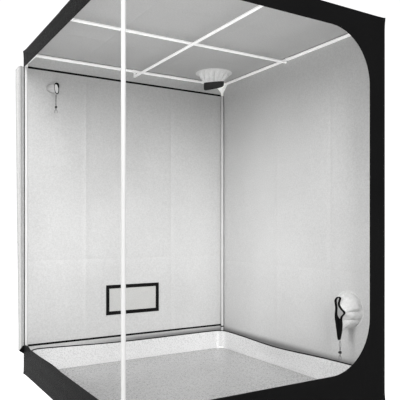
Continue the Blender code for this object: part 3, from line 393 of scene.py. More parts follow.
# Lamp bars
# Two thinner coated tubes cross under the roof. A bent steel strap riveted to each end hooks over
# a roof rail, so that the bar slides along it.
BAR_RADIUS = 0.008
BAR_DROPS = {"lamp_bar_across": 0.0195, "lamp_bar_deep": 0.0390}
HOOK_WIDTH = 0.014
HOOK_THICKNESS = 0.0022
HOOK_GAP = 0.0006
HOOK_WRAP = math.radians(205)
RIVET = (0.0032, 0.0012)


def round_rims(piece, width, segments):
    """Rounds a piece's sharp rims for good."""
    rims = piece.modifiers.new("round_rims", "BEVEL")
    rims.width, rims.segments = width, segments
    return settle(piece)


inner = TUBE_RADIUS + HOOK_GAP
outer = inner + HOOK_THICKNESS
half_span = FRAME_PLACE - inner - HOOK_THICKNESS / 2
wraps = [HOOK_WRAP * i / 30 for i in range(31)]
for bar_name, drop in BAR_DROPS.items():
    spin = unturned if bar_name == "lamp_bar_across" else Matrix.Rotation(quarter_turn, 4, "Z")
    axis = spin @ Vector((1, 0, 0))
    level = Vector((0, 0, HIGH_RAIL - drop))
    bar = tube(bar_name + "_tube", level - axis * half_span, level + axis * half_span, BAR_RADIUS)
    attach(bar, bar_name)
    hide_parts(bar_name)
    low = -drop - BAR_RADIUS * 0.9
    outline = [(inner, low), (outer, low)] + [(outer * math.cos(a), outer * math.sin(a)) for a in wraps]
    outline += [(inner * math.cos(a), inner * math.sin(a)) for a in reversed(wraps)]
    for side, side_name, turned in ((-1, "left", 0), (1, "right", math.pi)):
        strap = bmesh.new()
        seat = spin @ Matrix.Translation((side * FRAME_PLACE, 0, HIGH_RAIL)) @ Matrix.Rotation(turned, 4, "Z")
        plate(strap, outline, HOOK_WIDTH, seat @ across_x)
        rivet_turn = seat @ Matrix.Translation((inner, 0, -drop)) @ back_y
        lathe(strap, round_profile(RIVET[0], -0.0005, RIVET[1], 0.0008), 20, rivet_turn)
        name = f"{bar_name}_hook_{side_name}"
        hook = put(name, mesh_of(name, strap, 25), [steel])
        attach(round_rims(hook, 0.0005, 2), bar_name)

# Cover cloth
# Black oxford cloth with a silver film on its inner side, cut into panels and sewn at the edges.
# The sewn corners stand a little proud of the frame, and the cloth rounds over the posts.
WALL = 0.750
HEIGHT = 2.000
CLOTH = 0.0010
EDGE_ROUND = 0.003
ROLL_EDGE_ROUND = 0.006
SEAM_STAND = 0.006
SEAM_WIDTH = 0.016
EAR_REACH = 0.060
EAR_SPREAD = 0.016
EAR_STAND = 0.002
LINE_STEP = 0.030
PORT_RINGS = 5
EDGE_STOPS = (0.004, 0.013, 0.030, 0.060)
FOLD_STOPS = (-0.010, -0.004, 0, 0.004, 0.010)

# Plain weave: the product of two waves of threads on each pair of axes.
weave, weave_in, weave_out, place = effect("plain_weave", {"Threads": 1100.0}, {"Height": "NodeSocketFloat"})
split = add(weave, "SeparateXYZ", {"Vector": place}).outputs
pitch = reckon(weave, "MULTIPLY", weave_in["Threads"], math.pi)
x_wave, y_wave, z_wave = (reckon(weave, "SINE", reckon(weave, "MULTIPLY", split[axis], pitch)) for axis in "XYZ")
pairs = [reckon(weave, "MULTIPLY", *pair) for pair in ((x_wave, y_wave), (y_wave, z_wave), (z_wave, x_wave))]
weave.links.new(reckon(weave, "ADD", reckon(weave, "ADD", *pairs[:2]), pairs[2]), weave_out["Height"])

# Soft creases: narrow lines that wander over the cloth.
creases, crease_in, crease_out, place = effect(
    "soft_creases", {"Scale": 5.0, "Width": 0.05}, {"Crease": "NodeSocketFloat"}
)
wander = add(creases, "TexNoise", {"Vector": place, "Scale": crease_in["Scale"], "Detail": 2.0, "Distortion": 0.6})
away = reckon(creases, "ABSOLUTE", reckon(creases, "SUBTRACT", wander.outputs["Fac"], 0.5))
line = add(
    creases, "MapRange", {"Value": away, "From Max": crease_in["Width"], "To Min": 1.0, "To Max": 0.0},
    interpolation_type="SMOOTHSTEP",
)
creases.links.new(line.outputs["Result"], crease_out["Crease"])

# Low down: 1 under a height, fading to 0 at another, and only past a place across the tent. It masks painted shade.
low_shade_mask, low_in, low_out, place = effect(
    "low_shade_mask", {"From": 0.004, "To": 0.030, "Past": -9.0}, {"Share": "NodeSocketFloat"}
)
split = add(low_shade_mask, "SeparateXYZ", {"Vector": place}).outputs
below = add(
    low_shade_mask, "MapRange",
    {"Value": split["Z"], "From Min": low_in["From"], "From Max": low_in["To"], "To Min": 1.0, "To Max": 0.0},
    interpolation_type="SMOOTHSTEP",
)
end = reckon(low_shade_mask, "ADD", low_in["Past"], 0.5)
beyond = add(low_shade_mask, "MapRange", {"Value": split["X"], "From Min": low_in["Past"], "From Max": end})
share = reckon(low_shade_mask, "MULTIPLY", below.outputs["Result"], beyond.outputs["Result"])
low_shade_mask.links.new(share, low_out["Share"])

oxford = toned(
    "black_oxford", {"Specular IOR Level": 0.05, "Sheen Weight": 0.162, "Sheen Roughness": 0.25},
    ((0.0026, 0.0026, 0.0027, 1), (0.0036, 0.0036, 0.0037, 1)), (2.5, 0.7),
    texture=(weave, {"Threads": 900.0}, -1.0), gloss=(0.62, 0.72), relief=(0.3, 0.0003),
    under=(creases, {"Scale": 3.0, "Width": 0.04}, 0.12, 0.003),
)


def silver_film(name, colours, rough, metallic=0.0, grit=1.0, more=None):
    """A matt silver film over the weave, with fine grain and faint handling creases."""
    made, tree, shader = finish(name, {"Metallic": metallic, "Specular IOR Level": 0.3, **(more or {})})
    tone = use(tree, patches, {"Colour": colours[0], "Patch Colour": colours[1], "Scale": 2.2, "Amount": 0.5})
    fleck = use(tree, grain, {"Scale": 130.0})["Grain"]
    depth = {"From Min": 0.3, "From Max": 0.7, "To Min": 1 - 0.10 * grit, "To Max": 1 + 0.07 * grit}
    dark = add(tree, "MapRange", {"Value": fleck, **depth}).outputs["Result"]
    gloss = add(tree, "MapRange", {"Value": fleck, "To Min": rough - 0.08, "To Max": rough + 0.08}).outputs["Result"]
    join(tree, shader, {"Base Color": mix(tree, 1.0, tone["Colour"], dark, "MULTIPLY"), "Roughness": gloss})
    soft = bump(tree, shader, use(tree, creases, {"Scale": 4.0, "Width": 0.06})["Crease"], 0.10, 0.003)
    bump(tree, shader, fleck, 0.12 * grit, 0.0006, soft)
    return made


def paint_low_shade(look, low, high, share_kept, past=-9.0):
    """Paints shade over a finish below a height, and only past a place across if one is given."""
    tree = look.node_tree
    shader = tree.nodes["Principled BSDF"]
    own = shader.inputs["Base Color"].links[0].from_socket
    shaded_colour = mix(tree, 1.0, own, (share_kept, share_kept, share_kept, 1), "MULTIPLY")
    share = use(tree, low_shade_mask, {"From": low, "To": high, "Past": past})["Share"]
    join(tree, shader, {"Base Color": mix(tree, share, own, shaded_colour)})


liner = silver_film("silver_liner", ((0.545, 0.545, 0.542, 1), (0.475, 0.475, 0.472, 1)), 0.46, 0.10)
# Painted shade: the liner is darker from 0.13 to 0.176 m high, past x = -0.45, just above the tray's rim.
paint_low_shade(liner, 0.130, 0.176, 0.34, -0.45)


def smooth(share):
    """Eases a share from 0 to 1."""
    share = min(1.0, max(0.0, share))
    return share * share * (3 - 2 * share)


def drape(point):
    """Rounds a point of the boxy cover over the frame's edge, and pulls the sewn corners out to a tip."""
    x, y, z = point
    corner = Vector((math.copysign(WALL, x), math.copysign(WALL, y), HEIGHT if z > HEIGHT / 2 else 0))
    away = (Vector(point) - corner).length
    radius = ROLL_EDGE_ROUND if x < 0 < y else EDGE_ROUND
    radius *= smooth(away / EAR_REACH)
    core = (WALL - radius, WALL - radius, HEIGHT / 2 - radius)
    local = (x, y, z - HEIGHT / 2)
    over = [max(0.0, abs(value) - limit) for value, limit in zip(local, core)]
    length = math.sqrt(sum(value * value for value in over))
    if length > 1e-9:
        scale = max(over) / length
        local = tuple(
            math.copysign(limit + value * scale, at) if value > 0 else at
            for at, value, limit in zip(local, over, core)
        )
    pull = EAR_STAND * (1 - min(1.0, away / EAR_SPREAD)) ** 2
    near_side = smooth(1 - (WALL - max(abs(x), abs(y))) / SEAM_WIDTH)
    ridge = SEAM_STAND * near_side * smooth(1 - (HEIGHT - z) / SEAM_WIDTH)
    tip = Vector((math.copysign(pull, x), math.copysign(pull, y), ridge + (0.6 * pull if z > HEIGHT / 2 else 0)))
    return Vector((local[0], local[1], local[2] + HEIGHT / 2)) + tip


def lines(start, end, stops=(), step=LINE_STEP):
    """Grid lines from start to end about a step apart, with one at each stop."""
    marks = sorted({start, end, *[stop for stop in stops if start < stop < end]})
    found = [start]
    for low, high in zip(marks, marks[1:]):
        count = max(1, round((high - low) / step))
        found += [low + (high - low) * i / count for i in range(1, count + 1)]
    return found


def panel_lines(low, high, folds=(), axis=0, more=(), step=LINE_STEP):
    """Grid lines across a panel, closer along its edges and its packing folds."""
    stops = [low + stop for stop in EDGE_STOPS] + [high - stop for stop in EDGE_STOPS]
    stops += [at + shift for direction, at, height in folds if direction == axis for shift in FOLD_STOPS]
    return lines(low, high, [*stops, *more], step)


def flat_grid(us, vs, window=None, port=None):
    """Points and faces of a flat panel. A window is a box left out, and a port is a round hole in a square of rings."""
    points = [(u, v) for v in vs for u in us]
    faces = []
    ring_square = None
    if port:
        at_u, at_v, radius, half = port
        ring_square = (at_u - half, at_v - half, at_u + half, at_v + half)
    for j in range(len(vs) - 1):
        for i in range(len(us) - 1):
            u, v = (us[i] + us[i + 1]) / 2, (vs[j] + vs[j + 1]) / 2
            if any(box and box[0] < u < box[2] and box[1] < v < box[3] for box in (window, ring_square)):
                continue
            corner = j * len(us) + i
            faces.append((corner, corner + 1, corner + 1 + len(us), corner + len(us)))
    if port:
        low_u, low_v, high_u, high_v = ring_square
        inside_u = [i for i, u in enumerate(us) if low_u - 1e-6 <= u <= high_u + 1e-6]
        inside_v = [j * len(us) for j, v in enumerate(vs) if low_v - 1e-6 <= v <= high_v + 1e-6]
        loop = [inside_v[0] + i for i in inside_u]
        loop += [row + inside_u[-1] for row in inside_v[1:]]
        loop += [inside_v[-1] + i for i in reversed(inside_u[:-1])]
        loop += [row + inside_u[0] for row in reversed(inside_v[1:-1])]
        outer = loop
        for ring in range(1, PORT_RINGS + 1):
            first = len(points)
            for index in loop:
                u, v = points[index]
                angle = math.atan2(v - at_v, u - at_u)
                hole_u, hole_v = at_u + radius * math.cos(angle), at_v + radius * math.sin(angle)
                points.append((u + (hole_u - u) * ring / PORT_RINGS, v + (hole_v - v) * ring / PORT_RINGS))
            inner = range(first, len(points))
            for i in range(len(loop)):
                j = (i + 1) % len(loop)
                faces.append((outer[i], outer[j], inner[j], inner[i]))
            outer = inner
    return points, faces


def sew(name, points, faces, looks, thickness=CLOTH, offset=-1.0):
    """Makes one cloth sheet of placed points: its first finish outside, its second inside."""
    used = sorted({index for face in faces for index in face})
    place = {old: new for new, old in enumerate(used)}
    mesh = bpy.data.meshes.new(name)
    mesh.from_pydata([points[i] for i in used], [], [[place[i] for i in face] for face in faces])
    mesh.shade_smooth()
    made = put(name, mesh, looks)
    thick = made.modifiers.new("thickness", "SOLIDIFY")
    thick.thickness, thick.offset, thick.use_even_offset = thickness, offset, False
    thick.material_offset = 1 if len(looks) > 1 else 0
    settle(made)
    made.data.set_sharp_from_angle(angle=math.radians(50))
    return made


def slack(u, v, seed, depth):
    """How far loose cloth stands out between what holds it."""
    slow = noise.noise(Vector((u * 1.6, v * 1.1, seed)))
    quick = noise.noise(Vector((u * 5.0, v * 3.4, seed + 7)))
    return depth * (0.55 + 0.45 * slow + 0.18 * quick)


def packing_folds(u, v, folds):
    """Faint ridges left where the cloth was folded flat for packing."""
    rise = 0.0
    for axis, at, height in folds:
        away = ((u, v)[axis] - at) / 0.007
        rise += height * math.exp(-away * away)
    return rise


def panel(name, origin, right, up, us, vs, seed, depth, folds=(), window=None, port=None):
    """A cover panel: a flat grid stood in its plane, let out a little between its edges and draped."""
    origin, right, up = Vector(origin), Vector(right), Vector(up)
    out = right.cross(up)
    points, faces = flat_grid(us, vs, window, port)
    placed = []
    for u, v in points:
        edge = min(u - us[0], us[-1] - u, v - vs[0], vs[-1] - v)
        rise = slack(u, v, seed, depth) * smooth(edge / 0.16)
        rise += packing_folds(u, v, folds) * smooth(edge / 0.03)
        if port:
            rise *= smooth((math.hypot(u - port[0], v - port[1]) - port[2]) / 0.05)
        if window:
            gap = max(window[0] - u, u - window[2], window[1] - v, v - window[3])
            rise *= smooth(gap / 0.05)
        placed.append(drape(origin + right * u + up * v + out * rise))
    return sew(name, placed, faces, [oxford, liner])


ground_lines = panel_lines(-WALL, WALL, step=0.06)
ground = panel(
    "ground_sheet", (0, 0, 0), (0, 1, 0), (1, 0, 0), ground_lines, ground_lines, 3.0, depth=0.0,
)
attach(ground, "tent")
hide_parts("cover_floor")

# Roof
# One square of the cover cloth, stretched over the four roof rails. Faint ridges show where it was
# folded for packing, and a round hole is cut for the roof duct.
ROOF_DUCT = (0.530, 0.540)
ROOF_HOLE_RADIUS = 0.118
ROOF_SQUARE = 0.165
roof_folds = [(0, -0.38, -0.0012), (0, 0.16, 0.0012), (1, -0.30, 0.0012), (1, 0.30, -0.0012)]
us, vs = (
    panel_lines(-WALL, WALL, roof_folds, axis, (ROOF_DUCT[axis] - ROOF_SQUARE, ROOF_DUCT[axis] + ROOF_SQUARE))
    for axis in (0, 1)
)
roof = panel(
    "roof_cloth", (0, 0, HEIGHT), (1, 0, 0), (0, 1, 0), us, vs, 11.0,
    depth=0.003, folds=roof_folds, port=(*ROOF_DUCT, ROOF_HOLE_RADIUS, ROOF_SQUARE),
)
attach(roof, "tent")
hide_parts("cover_roof")

# Right wall
# A whole panel of the cover cloth, hung from the roof's seam and sewn to the front and back. The
# wall duct's hole is cut in it, low down near the front.
BODY_LOW = 0.0013
BODY_HIGH = 1.9987
SIDE_REACH = 0.7487
WALL_HOLE = (-0.535, 0.440)
WALL_HOLE_RADIUS = 0.062
WALL_SQUARE = 0.160
right_folds = [(0, -0.36, 0.0012), (0, 0.12, -0.0009), (1, 0.66, 0.0009), (1, 1.33, -0.0009)]
us, vs = (
    panel_lines(low, high, right_folds, axis, (WALL_HOLE[axis] - WALL_SQUARE, WALL_HOLE[axis] + WALL_SQUARE))
    for axis, (low, high) in enumerate(((-SIDE_REACH, SIDE_REACH), (BODY_LOW, BODY_HIGH)))
)
right_wall = panel(
    "right_wall_cloth", (WALL, 0, 0), (0, 1, 0), (0, 0, 1), us, vs, 23.0,
    depth=0.005, folds=right_folds, port=(*WALL_HOLE, WALL_HOLE_RADIUS, WALL_SQUARE),
)
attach(right_wall, "tent")
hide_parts("cover_right_wall")

# Front wall
# One band of the cover cloth frames the D-shaped doorway: over it, down its right side with two
# round corners, and under it. Its edge is turned in and topstitched twice.
DOOR_TOP = 1.9028
SILL = 0.1805
DOOR_EDGE = 0.634
DOOR_RADIUS = 0.265
BAND_SHARES = (0.2, 0.4, 0.6, 0.8)
BAND_HEM = (0.0, 0.003, 0.009, 0.0115, 0.014)
BAND_SEAM = (0.016, 0.0125, 0.011, 0.0095, 0.004, 0.0)
ARC_STEPS = 24

bend = DOOR_EDGE - DOOR_RADIUS


def round_corner(step, middle, edge, up):
    """The band's inner and outer point at a step round the doorway's upper or lower corner."""
    angle = quarter_turn * (1 - step / ARC_STEPS)
    inner_point = (bend + DOOR_RADIUS * math.cos(angle), middle + up * DOOR_RADIUS * math.sin(angle))
    along = 2 * step / ARC_STEPS
    if along <= 1:
        return inner_point, (bend + (WALL - bend) * along, edge)
    return inner_point, (WALL, edge - (edge - middle) * (along - 1))


high_middle, low_middle = DOOR_TOP - DOOR_RADIUS, SILL + DOOR_RADIUS
across_lines = lines(-WALL, bend, (-WALL + 0.004, -WALL + 0.02, -WALL + 0.06))
door_path = [((x, DOOR_TOP), (x, BODY_HIGH)) for x in across_lines]
door_path += [round_corner(step, high_middle, BODY_HIGH, 1) for step in range(1, ARC_STEPS + 1)]
door_path += [((DOOR_EDGE, z), (WALL, z)) for z in reversed(lines(low_middle, high_middle)[:-1])]
door_path += [round_corner(ARC_STEPS - step, low_middle, BODY_LOW, -1) for step in range(1, ARC_STEPS + 1)]
door_path += [((x, SILL), (x, BODY_LOW)) for x in reversed(across_lines[:-1])]


def front_point(across, inner_point, outer_point):
    """A point of the front band, this far from the doorway's edge towards the outer edge."""
    inner_point, outer_point = Vector(inner_point), Vector(outer_point)
    width = (outer_point - inner_point).length
    at = inner_point + (outer_point - inner_point) * (across / width)
    rise = 0.0008 * smooth(1 - abs(across - 0.006) / 0.008)
    rise += slack(at.x, at.y, 31.0, 0.003) * smooth(across / 0.05) * smooth((width - across) / 0.05)
    rise -= 0.0010 * smooth(1 - abs(width - across - 0.011) / 0.0018)
    return drape(Vector((at.x, -WALL - rise, at.y)))


def row_faces(rows, length):
    """Faces between rows of points, all rows of one length."""
    firsts = [row * length + i for row in range(rows - 1) for i in range(length - 1)]
    return [(first, first + length, first + length + 1, first + 1) for first in firsts]


points = []
for inner_point, outer_point in door_path:
    width = (Vector(outer_point) - Vector(inner_point)).length
    low, high = BAND_HEM[-1], width - BAND_SEAM[0]
    row = list(BAND_HEM) + [low + (high - low) * share for share in BAND_SHARES] + [width - gap for gap in BAND_SEAM]
    points += [front_point(across, inner_point, outer_point) for across in row]
faces = row_faces(len(door_path), len(points) // len(door_path))
front_band = sew("front_band", points, faces, [oxford, liner])
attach(front_band, "tent")
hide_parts("cover_front_wall")

# Left side
# The left side is open: a band of cover cloth runs over the doorway, and a deeper one makes the
# sill. The sill's rear end is turned up and out in a stiff black corner.
SIDE_STOPS = (0.003, 0.011, 0.03)
SILL_FOLD = [
    (0.745, 0.175), (0.7284, 0.1805), (0.692, 0.1879), (0.640, 0.1935), (0.622, 0.1935), (0.5983, 0.1874),
    (0.572, 0.180), (0.574, 0.176), (0.6097, 0.1690), (0.6681, 0.157), (0.7284, 0.1350), (0.745, 0.131),
]
SILL_FOLD_PLACE = -0.7524
SILL_FOLD_THICKNESS = 0.0026


def webbing(name, *greys):
    """Ribbed black webbing and tape, as it is sewn over edges."""
    colours = [(grey, grey, grey, 1) for grey in greys]
    ribs = (weave, {"Threads": 650.0}, -1.0)
    return toned(
        name, {"Specular IOR Level": 0.07}, colours, (14.0, 0.6), texture=ribs, gloss=(0.55, 0.68), relief=(0.4, 0.0004)
    )


trim = webbing("black_trim", 0.004, 0.008)
us = panel_lines(-SIDE_REACH, SIDE_REACH)
for name, low, high, seed in (("left_top_band", DOOR_TOP, BODY_HIGH, 41.0), ("left_sill", BODY_LOW, SILL, 43.0)):
    vs = lines(low, high, [low + stop for stop in SIDE_STOPS] + [high - stop for stop in SIDE_STOPS], 0.02)
    band = panel(name, (-WALL, 0, 0), (0, -1, 0), (0, 0, 1), us, vs, seed, depth=0.003)
    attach(band, "tent")
    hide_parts("cover_" + name)
fold_shape = bmesh.new()
facing_left = Matrix(((0, 0, 1, SILL_FOLD_PLACE), (1, 0, 0, 0), (0, 1, 0, 0), (0, 0, 0, 1)))
plate(fold_shape, SILL_FOLD, SILL_FOLD_THICKNESS, facing_left)
# The fold takes the black trim, without the cover cloth's sheen, so that it shows darker than the sill: painted shade.
sill_fold = put("sill_corner_fold", mesh_of("sill_corner_fold", fold_shape), [trim])
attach(round_rims(sill_fold, 0.0010, 3), "tent")

# Back wall border
# The rear doorway is closed. Over it and under it is cover cloth, and at each side a sewn strip
# that wraps the post.
STRIP_EDGE = 0.736
BORDER_TOP = 1.915
BORDER_LOW = 0.167
us = panel_lines(-WALL, WALL, more=(-STRIP_EDGE, STRIP_EDGE))
for name, low, high, seed, rail in (
    ("back_top_band", BORDER_TOP, BODY_HIGH, 51.0, "tube_top_back"),
    ("back_sill", BODY_LOW, BORDER_LOW, 53.0, "tube_foot_back"),
):
    vs = lines(low, high, (low + 0.01, low + 0.03, high - 0.03, high - 0.01))
    band = panel(name, (0, WALL, 0), (-1, 0, 0), (0, 0, 1), us, vs, seed, depth=0.002)
    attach(band, "tent")
    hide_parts("cover_back_wall")
vs = lines(BORDER_LOW, BORDER_TOP)
for name, start, end in (("back_strip_left", STRIP_EDGE, WALL), ("back_strip_right", -WALL, -STRIP_EDGE)):
    us = lines(start, end, step=0.004)
    band = panel(name, (0, WALL, 0), (-1, 0, 0), (0, 0, 1), us, vs, 55.0, depth=0.0)
    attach(band, "tent")
    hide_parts("cover_back_wall")

# Rear zip
# A closed coil zip on black tape joins the rear panel to its border along the top, the left side
# and the foot. It shows on the inside as a dark line.
ZIP_OUTER = 0.7355
ZIP_INNER = 0.7263
ZIP_HEIGHTS = (0.1655, 1.9165)
ZIP_TAPE = 0.0130
ZIP_FACE = 0.7486
ZIP_THICKNESS = 0.0012
CHAIN_LEFT = -0.731
CHAIN_HEIGHTS = (0.172, 1.910)
TOOTH = (0.0030, 0.0013, 0.0014)
TOOTH_BACK = 0.0004
TOOTH_PITCH = 0.0030


def block(shape, centre, along, side, out, size):
    """A small block with its top drawn in, such as a zip tooth or a stitch."""
    length, width, height = size
    square = ((-1, -1), (1, -1), (1, 1), (-1, 1))
    low = [shape.verts.new(centre + along * (a * length / 2) + side * (b * width / 2)) for a, b in square]
    top = centre + out * height
    high = [shape.verts.new(top + along * (a * length * 0.34) + side * (b * width * 0.28)) for a, b in square]
    shape.faces.new(list(reversed(low)))
    shape.faces.new(high)
    bridge(shape, low, high)


def run_blocks(shape, path, out, size, pitch, turned=False):
    """Sets blocks along a path, a pitch apart, lengthways or turned across it."""
    spare = pitch / 2
    for start, end in zip(path, path[1:]):
        start, end = Vector(start), Vector(end)
        length = (end - start).length
        along = (end - start) / length
        side = out.cross(along)
        if turned:
            across, lengthways = along, side
        else:
            across, lengthways = side, along
        at = spare
        while at < length:
            block(shape, start + along * at, lengthways, across, out, size)
            at += pitch
        spare = at - length


def upright(y):
    """Stands an outline in X and Y up at this place, its Y along Z."""
    return Matrix.Translation((0, y, 0)) @ across_x


zip_low, zip_top = ZIP_HEIGHTS
tape_outline = [
    (-ZIP_OUTER, zip_low), (ZIP_OUTER, zip_low), (ZIP_OUTER, zip_low + ZIP_TAPE), (-ZIP_INNER, zip_low + ZIP_TAPE),
    (-ZIP_INNER, zip_top - ZIP_TAPE), (ZIP_OUTER, zip_top - ZIP_TAPE), (ZIP_OUTER, zip_top), (-ZIP_OUTER, zip_top),
]
tape = bmesh.new()
plate(tape, tape_outline, ZIP_THICKNESS, upright(ZIP_FACE + ZIP_THICKNESS / 2))
chain_low, chain_top = CHAIN_HEIGHTS
chain = [(ZIP_OUTER, chain_low), (CHAIN_LEFT, chain_low), (CHAIN_LEFT, chain_top), (ZIP_OUTER, chain_top)]
for y, facing, height in ((ZIP_FACE + ZIP_THICKNESS, 1, TOOTH[2]), (ZIP_FACE, -1, TOOTH_BACK)):
    path = [(x, y, z) for x, z in chain]
    run_blocks(tape, path, Vector((0, facing, 0)), (*TOOTH[:2], height), TOOTH_PITCH, turned=True)
rear_zip = put("rear_zip", mesh_of("rear_zip", tape), [trim])
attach(rear_zip, "tent")
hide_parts("rear_zip_chain")

# Rear panel
# The zipped panel of the same cloth, sewn in at the right. The vent window's opening and the cable
# port's hole are cut in it.
VENT = (-0.200, 0.318, 0.200, 0.520)
VENT_BORDER = 0.024
PANEL_LEFT = 0.7257
PANEL_RIGHT = 0.7357
PANEL_LOW = 0.177
PANEL_TOP = 1.905
CABLE_PORT = (-0.580, 1.796)
CABLE_HOLE_RADIUS = 0.0227
CABLE_SQUARE = 0.045
window = (-VENT[2] + VENT_BORDER, VENT[1] + VENT_BORDER, -VENT[0] - VENT_BORDER, VENT[3] - VENT_BORDER)
rear_folds = [(0, -0.30, 0.0010), (0, 0.34, -0.0010), (1, 0.70, 0.0010), (1, 1.30, -0.0010)]
us, vs = (
    panel_lines(
        low, high, rear_folds, axis,
        (window[axis], window[axis + 2], middle - CABLE_SQUARE, middle, middle + CABLE_SQUARE),
    )
    for axis, low, high, middle in (
        (0, -PANEL_RIGHT, PANEL_LEFT, -CABLE_PORT[0]), (1, PANEL_LOW, PANEL_TOP, CABLE_PORT[1]),
    )
)
rear_panel = panel(
    "rear_panel_cloth", (0, WALL, 0), (-1, 0, 0), (0, 0, 1), us, vs, 61.0,
    depth=0.004, folds=rear_folds, window=window, port=(-CABLE_PORT[0], CABLE_PORT[1], CABLE_HOLE_RADIUS, CABLE_SQUARE),
)
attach(rear_panel, "rear_panel")
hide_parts("rear_panel")

# Vent window
# A black webbing border is sewn round a grey net. The flap that closes it is of the cover cloth and
# hangs on the outer side from a stitched edge.
BORDER_FACE = 0.7487
BORDER_THICKNESS = 0.0014
STITCH = (0.0024, 0.0008, 0.0004)
STITCH_PITCH = 0.0036
STITCH_INSET = 0.003
NET_LEVEL = 0.7495

frame_shape = bmesh.new()
left, low, right, high = VENT
for low_u, low_v, high_u, high_v in (
    (left, low, right, low + VENT_BORDER),
    (left, high - VENT_BORDER, right, high),
    (left, low + VENT_BORDER, left + VENT_BORDER, high - VENT_BORDER),
    (right - VENT_BORDER, low + VENT_BORDER, right, high - VENT_BORDER),
):
    outline = [(low_u, low_v), (high_u, low_v), (high_u, high_v), (low_u, high_v)]
    plate(frame_shape, outline, BORDER_THICKNESS, upright(BORDER_FACE - BORDER_THICKNESS / 2))
vent_border = put("vent_border_webbing", mesh_of("vent_border_webbing", frame_shape), [trim])
round_rims(vent_border, 0.0004, 2)
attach(vent_border, "rear_panel")
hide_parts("vent_border")
rows = bmesh.new()
y = BORDER_FACE - BORDER_THICKNESS
for inset in (STITCH_INSET, VENT_BORDER - STITCH_INSET):
    left, low, right, high = VENT[0] + inset, VENT[1] + inset, VENT[2] - inset, VENT[3] - inset
    path = [(left, y, low), (right, y, low), (right, y, high), (left, y, high), (left, y, low)]
    run_blocks(rows, path, Vector((0, -1, 0)), STITCH, STITCH_PITCH)
vent_stitches = put("vent_stitches", mesh_of("vent_stitches", rows), [trim])
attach(vent_stitches, "rear_panel")

net, net_tree, net_shader = finish("grey_net", {"Specular IOR Level": 0.3})
knit = use(net_tree, weave, {"Threads": 420.0})["Height"]
holes = add(net_tree, "MapRange", {"Value": knit, "From Min": -0.9, "From Max": 0.6}).outputs["Result"]
gloss = add(net_tree, "MapRange", {"Value": knit, "To Min": 0.7, "To Max": 0.85}).outputs["Result"]
net_tone = mix(net_tree, holes, (0.366, 0.366, 0.358, 1), (0.61, 0.61, 0.597, 1))
join(net_tree, net_shader, {"Base Color": net_tone, "Roughness": gloss})
bump(net_tree, net_shader, knit, 0.5, 0.0006)
us = lines(-window[2] + 0.0003, -window[0] - 0.0003, step=0.02)
vs = lines(window[1] + 0.0003, window[3] - 0.0003, step=0.02)
flat_points, faces = flat_grid(us, vs)
points = [Vector((u, NET_LEVEL + 0.0002 * noise.noise(Vector((u * 30, v * 30, 5))), v)) for u, v in flat_points]
vent_net = sew("vent_net", points, faces, [net], 0.0006, 0.0)
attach(vent_net, "rear_panel")
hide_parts("vent_mesh")

FLAP = (-0.230, 0.288, 0.230, 0.550)
FLAP_FACE = 0.7503 + CLOTH
us = lines(-FLAP[2], -FLAP[0], (-0.226, 0.226), 0.02)
vs = lines(FLAP[1], FLAP[3], (0.292, 0.545), 0.02)
flat_points, faces = flat_grid(us, vs)
points = []
for u, v in flat_points:
    edge = min(u - us[0], us[-1] - u, vs[-1] - v)
    stand = 0.0035 * (0.6 + 0.4 * noise.noise(Vector((u * 7, v * 7, 71))))
    stand *= smooth(edge / 0.06) * (1 + 0.6 * (FLAP[3] - v) / 0.26)
    points.append(Vector((-u, FLAP_FACE + stand, v)))
vent_flap = sew("vent_flap_cloth", points, faces, [oxford, liner])
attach(vent_flap, "vent_flap")
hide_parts("vent_flap")
rows = bmesh.new()
run_blocks(rows, [(-0.224, FLAP_FACE, 0.545), (0.224, FLAP_FACE, 0.545)], Vector((0, 1, 0)), STITCH, STITCH_PITCH)
flap_stitches = put("flap_stitches", mesh_of("flap_stitches", rows), [trim])
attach(flap_stitches, "vent_flap")

# Zip sliders
# Two nickel sliders with flat pulls run on the outer side of the rear zip, one on its foot and one
# on its upright.
nickel = toned(
    "satin_nickel", {"Metallic": 1.0}, ((0.56, 0.55, 0.53, 1), (0.42, 0.41, 0.40, 1)), (160.0, 0.7),
    texture=(grain, {"Scale": 1500.0}, 0.0), gloss=(0.22, 0.42), relief=(0.15, 0.0002),
)


def refinish(look, *nodes):
    """Gives rigid pieces of the CAD their real finish."""
    for node in nodes:
        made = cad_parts[node]
        made.data.materials.clear()
        made.data.materials.append(look)


refinish(nickel, "zip_slider_low", "zip_pull_low", "zip_slider_side", "zip_pull_side")

# Port sleeves
# Tubes of the silver film cloth, sewn round each hole by a flat flange and gathered towards the
# mouth. The folds run down the tube and deepen where the mouth draws in.


def between(p0, p1, p2, p3, t):
    """A point between the second and third of four on the smooth curve through them."""
    bow = (2 * p0 - 5 * p1 + 4 * p2 - p3) * t * t + (3 * p1 - p0 - 3 * p2 + p3) * t ** 3
    return (2 * p1 + (p2 - p0) * t + bow) / 2


def curve_through(controls, share):
    """A point on the closed smooth curve through evenly spaced controls."""
    count = len(controls)
    place = (share % 1.0) * count
    k = int(place)
    return between(*(Vector(controls[(k + shift) % count]) for shift in (-1, 0, 1, 2)), place - k)


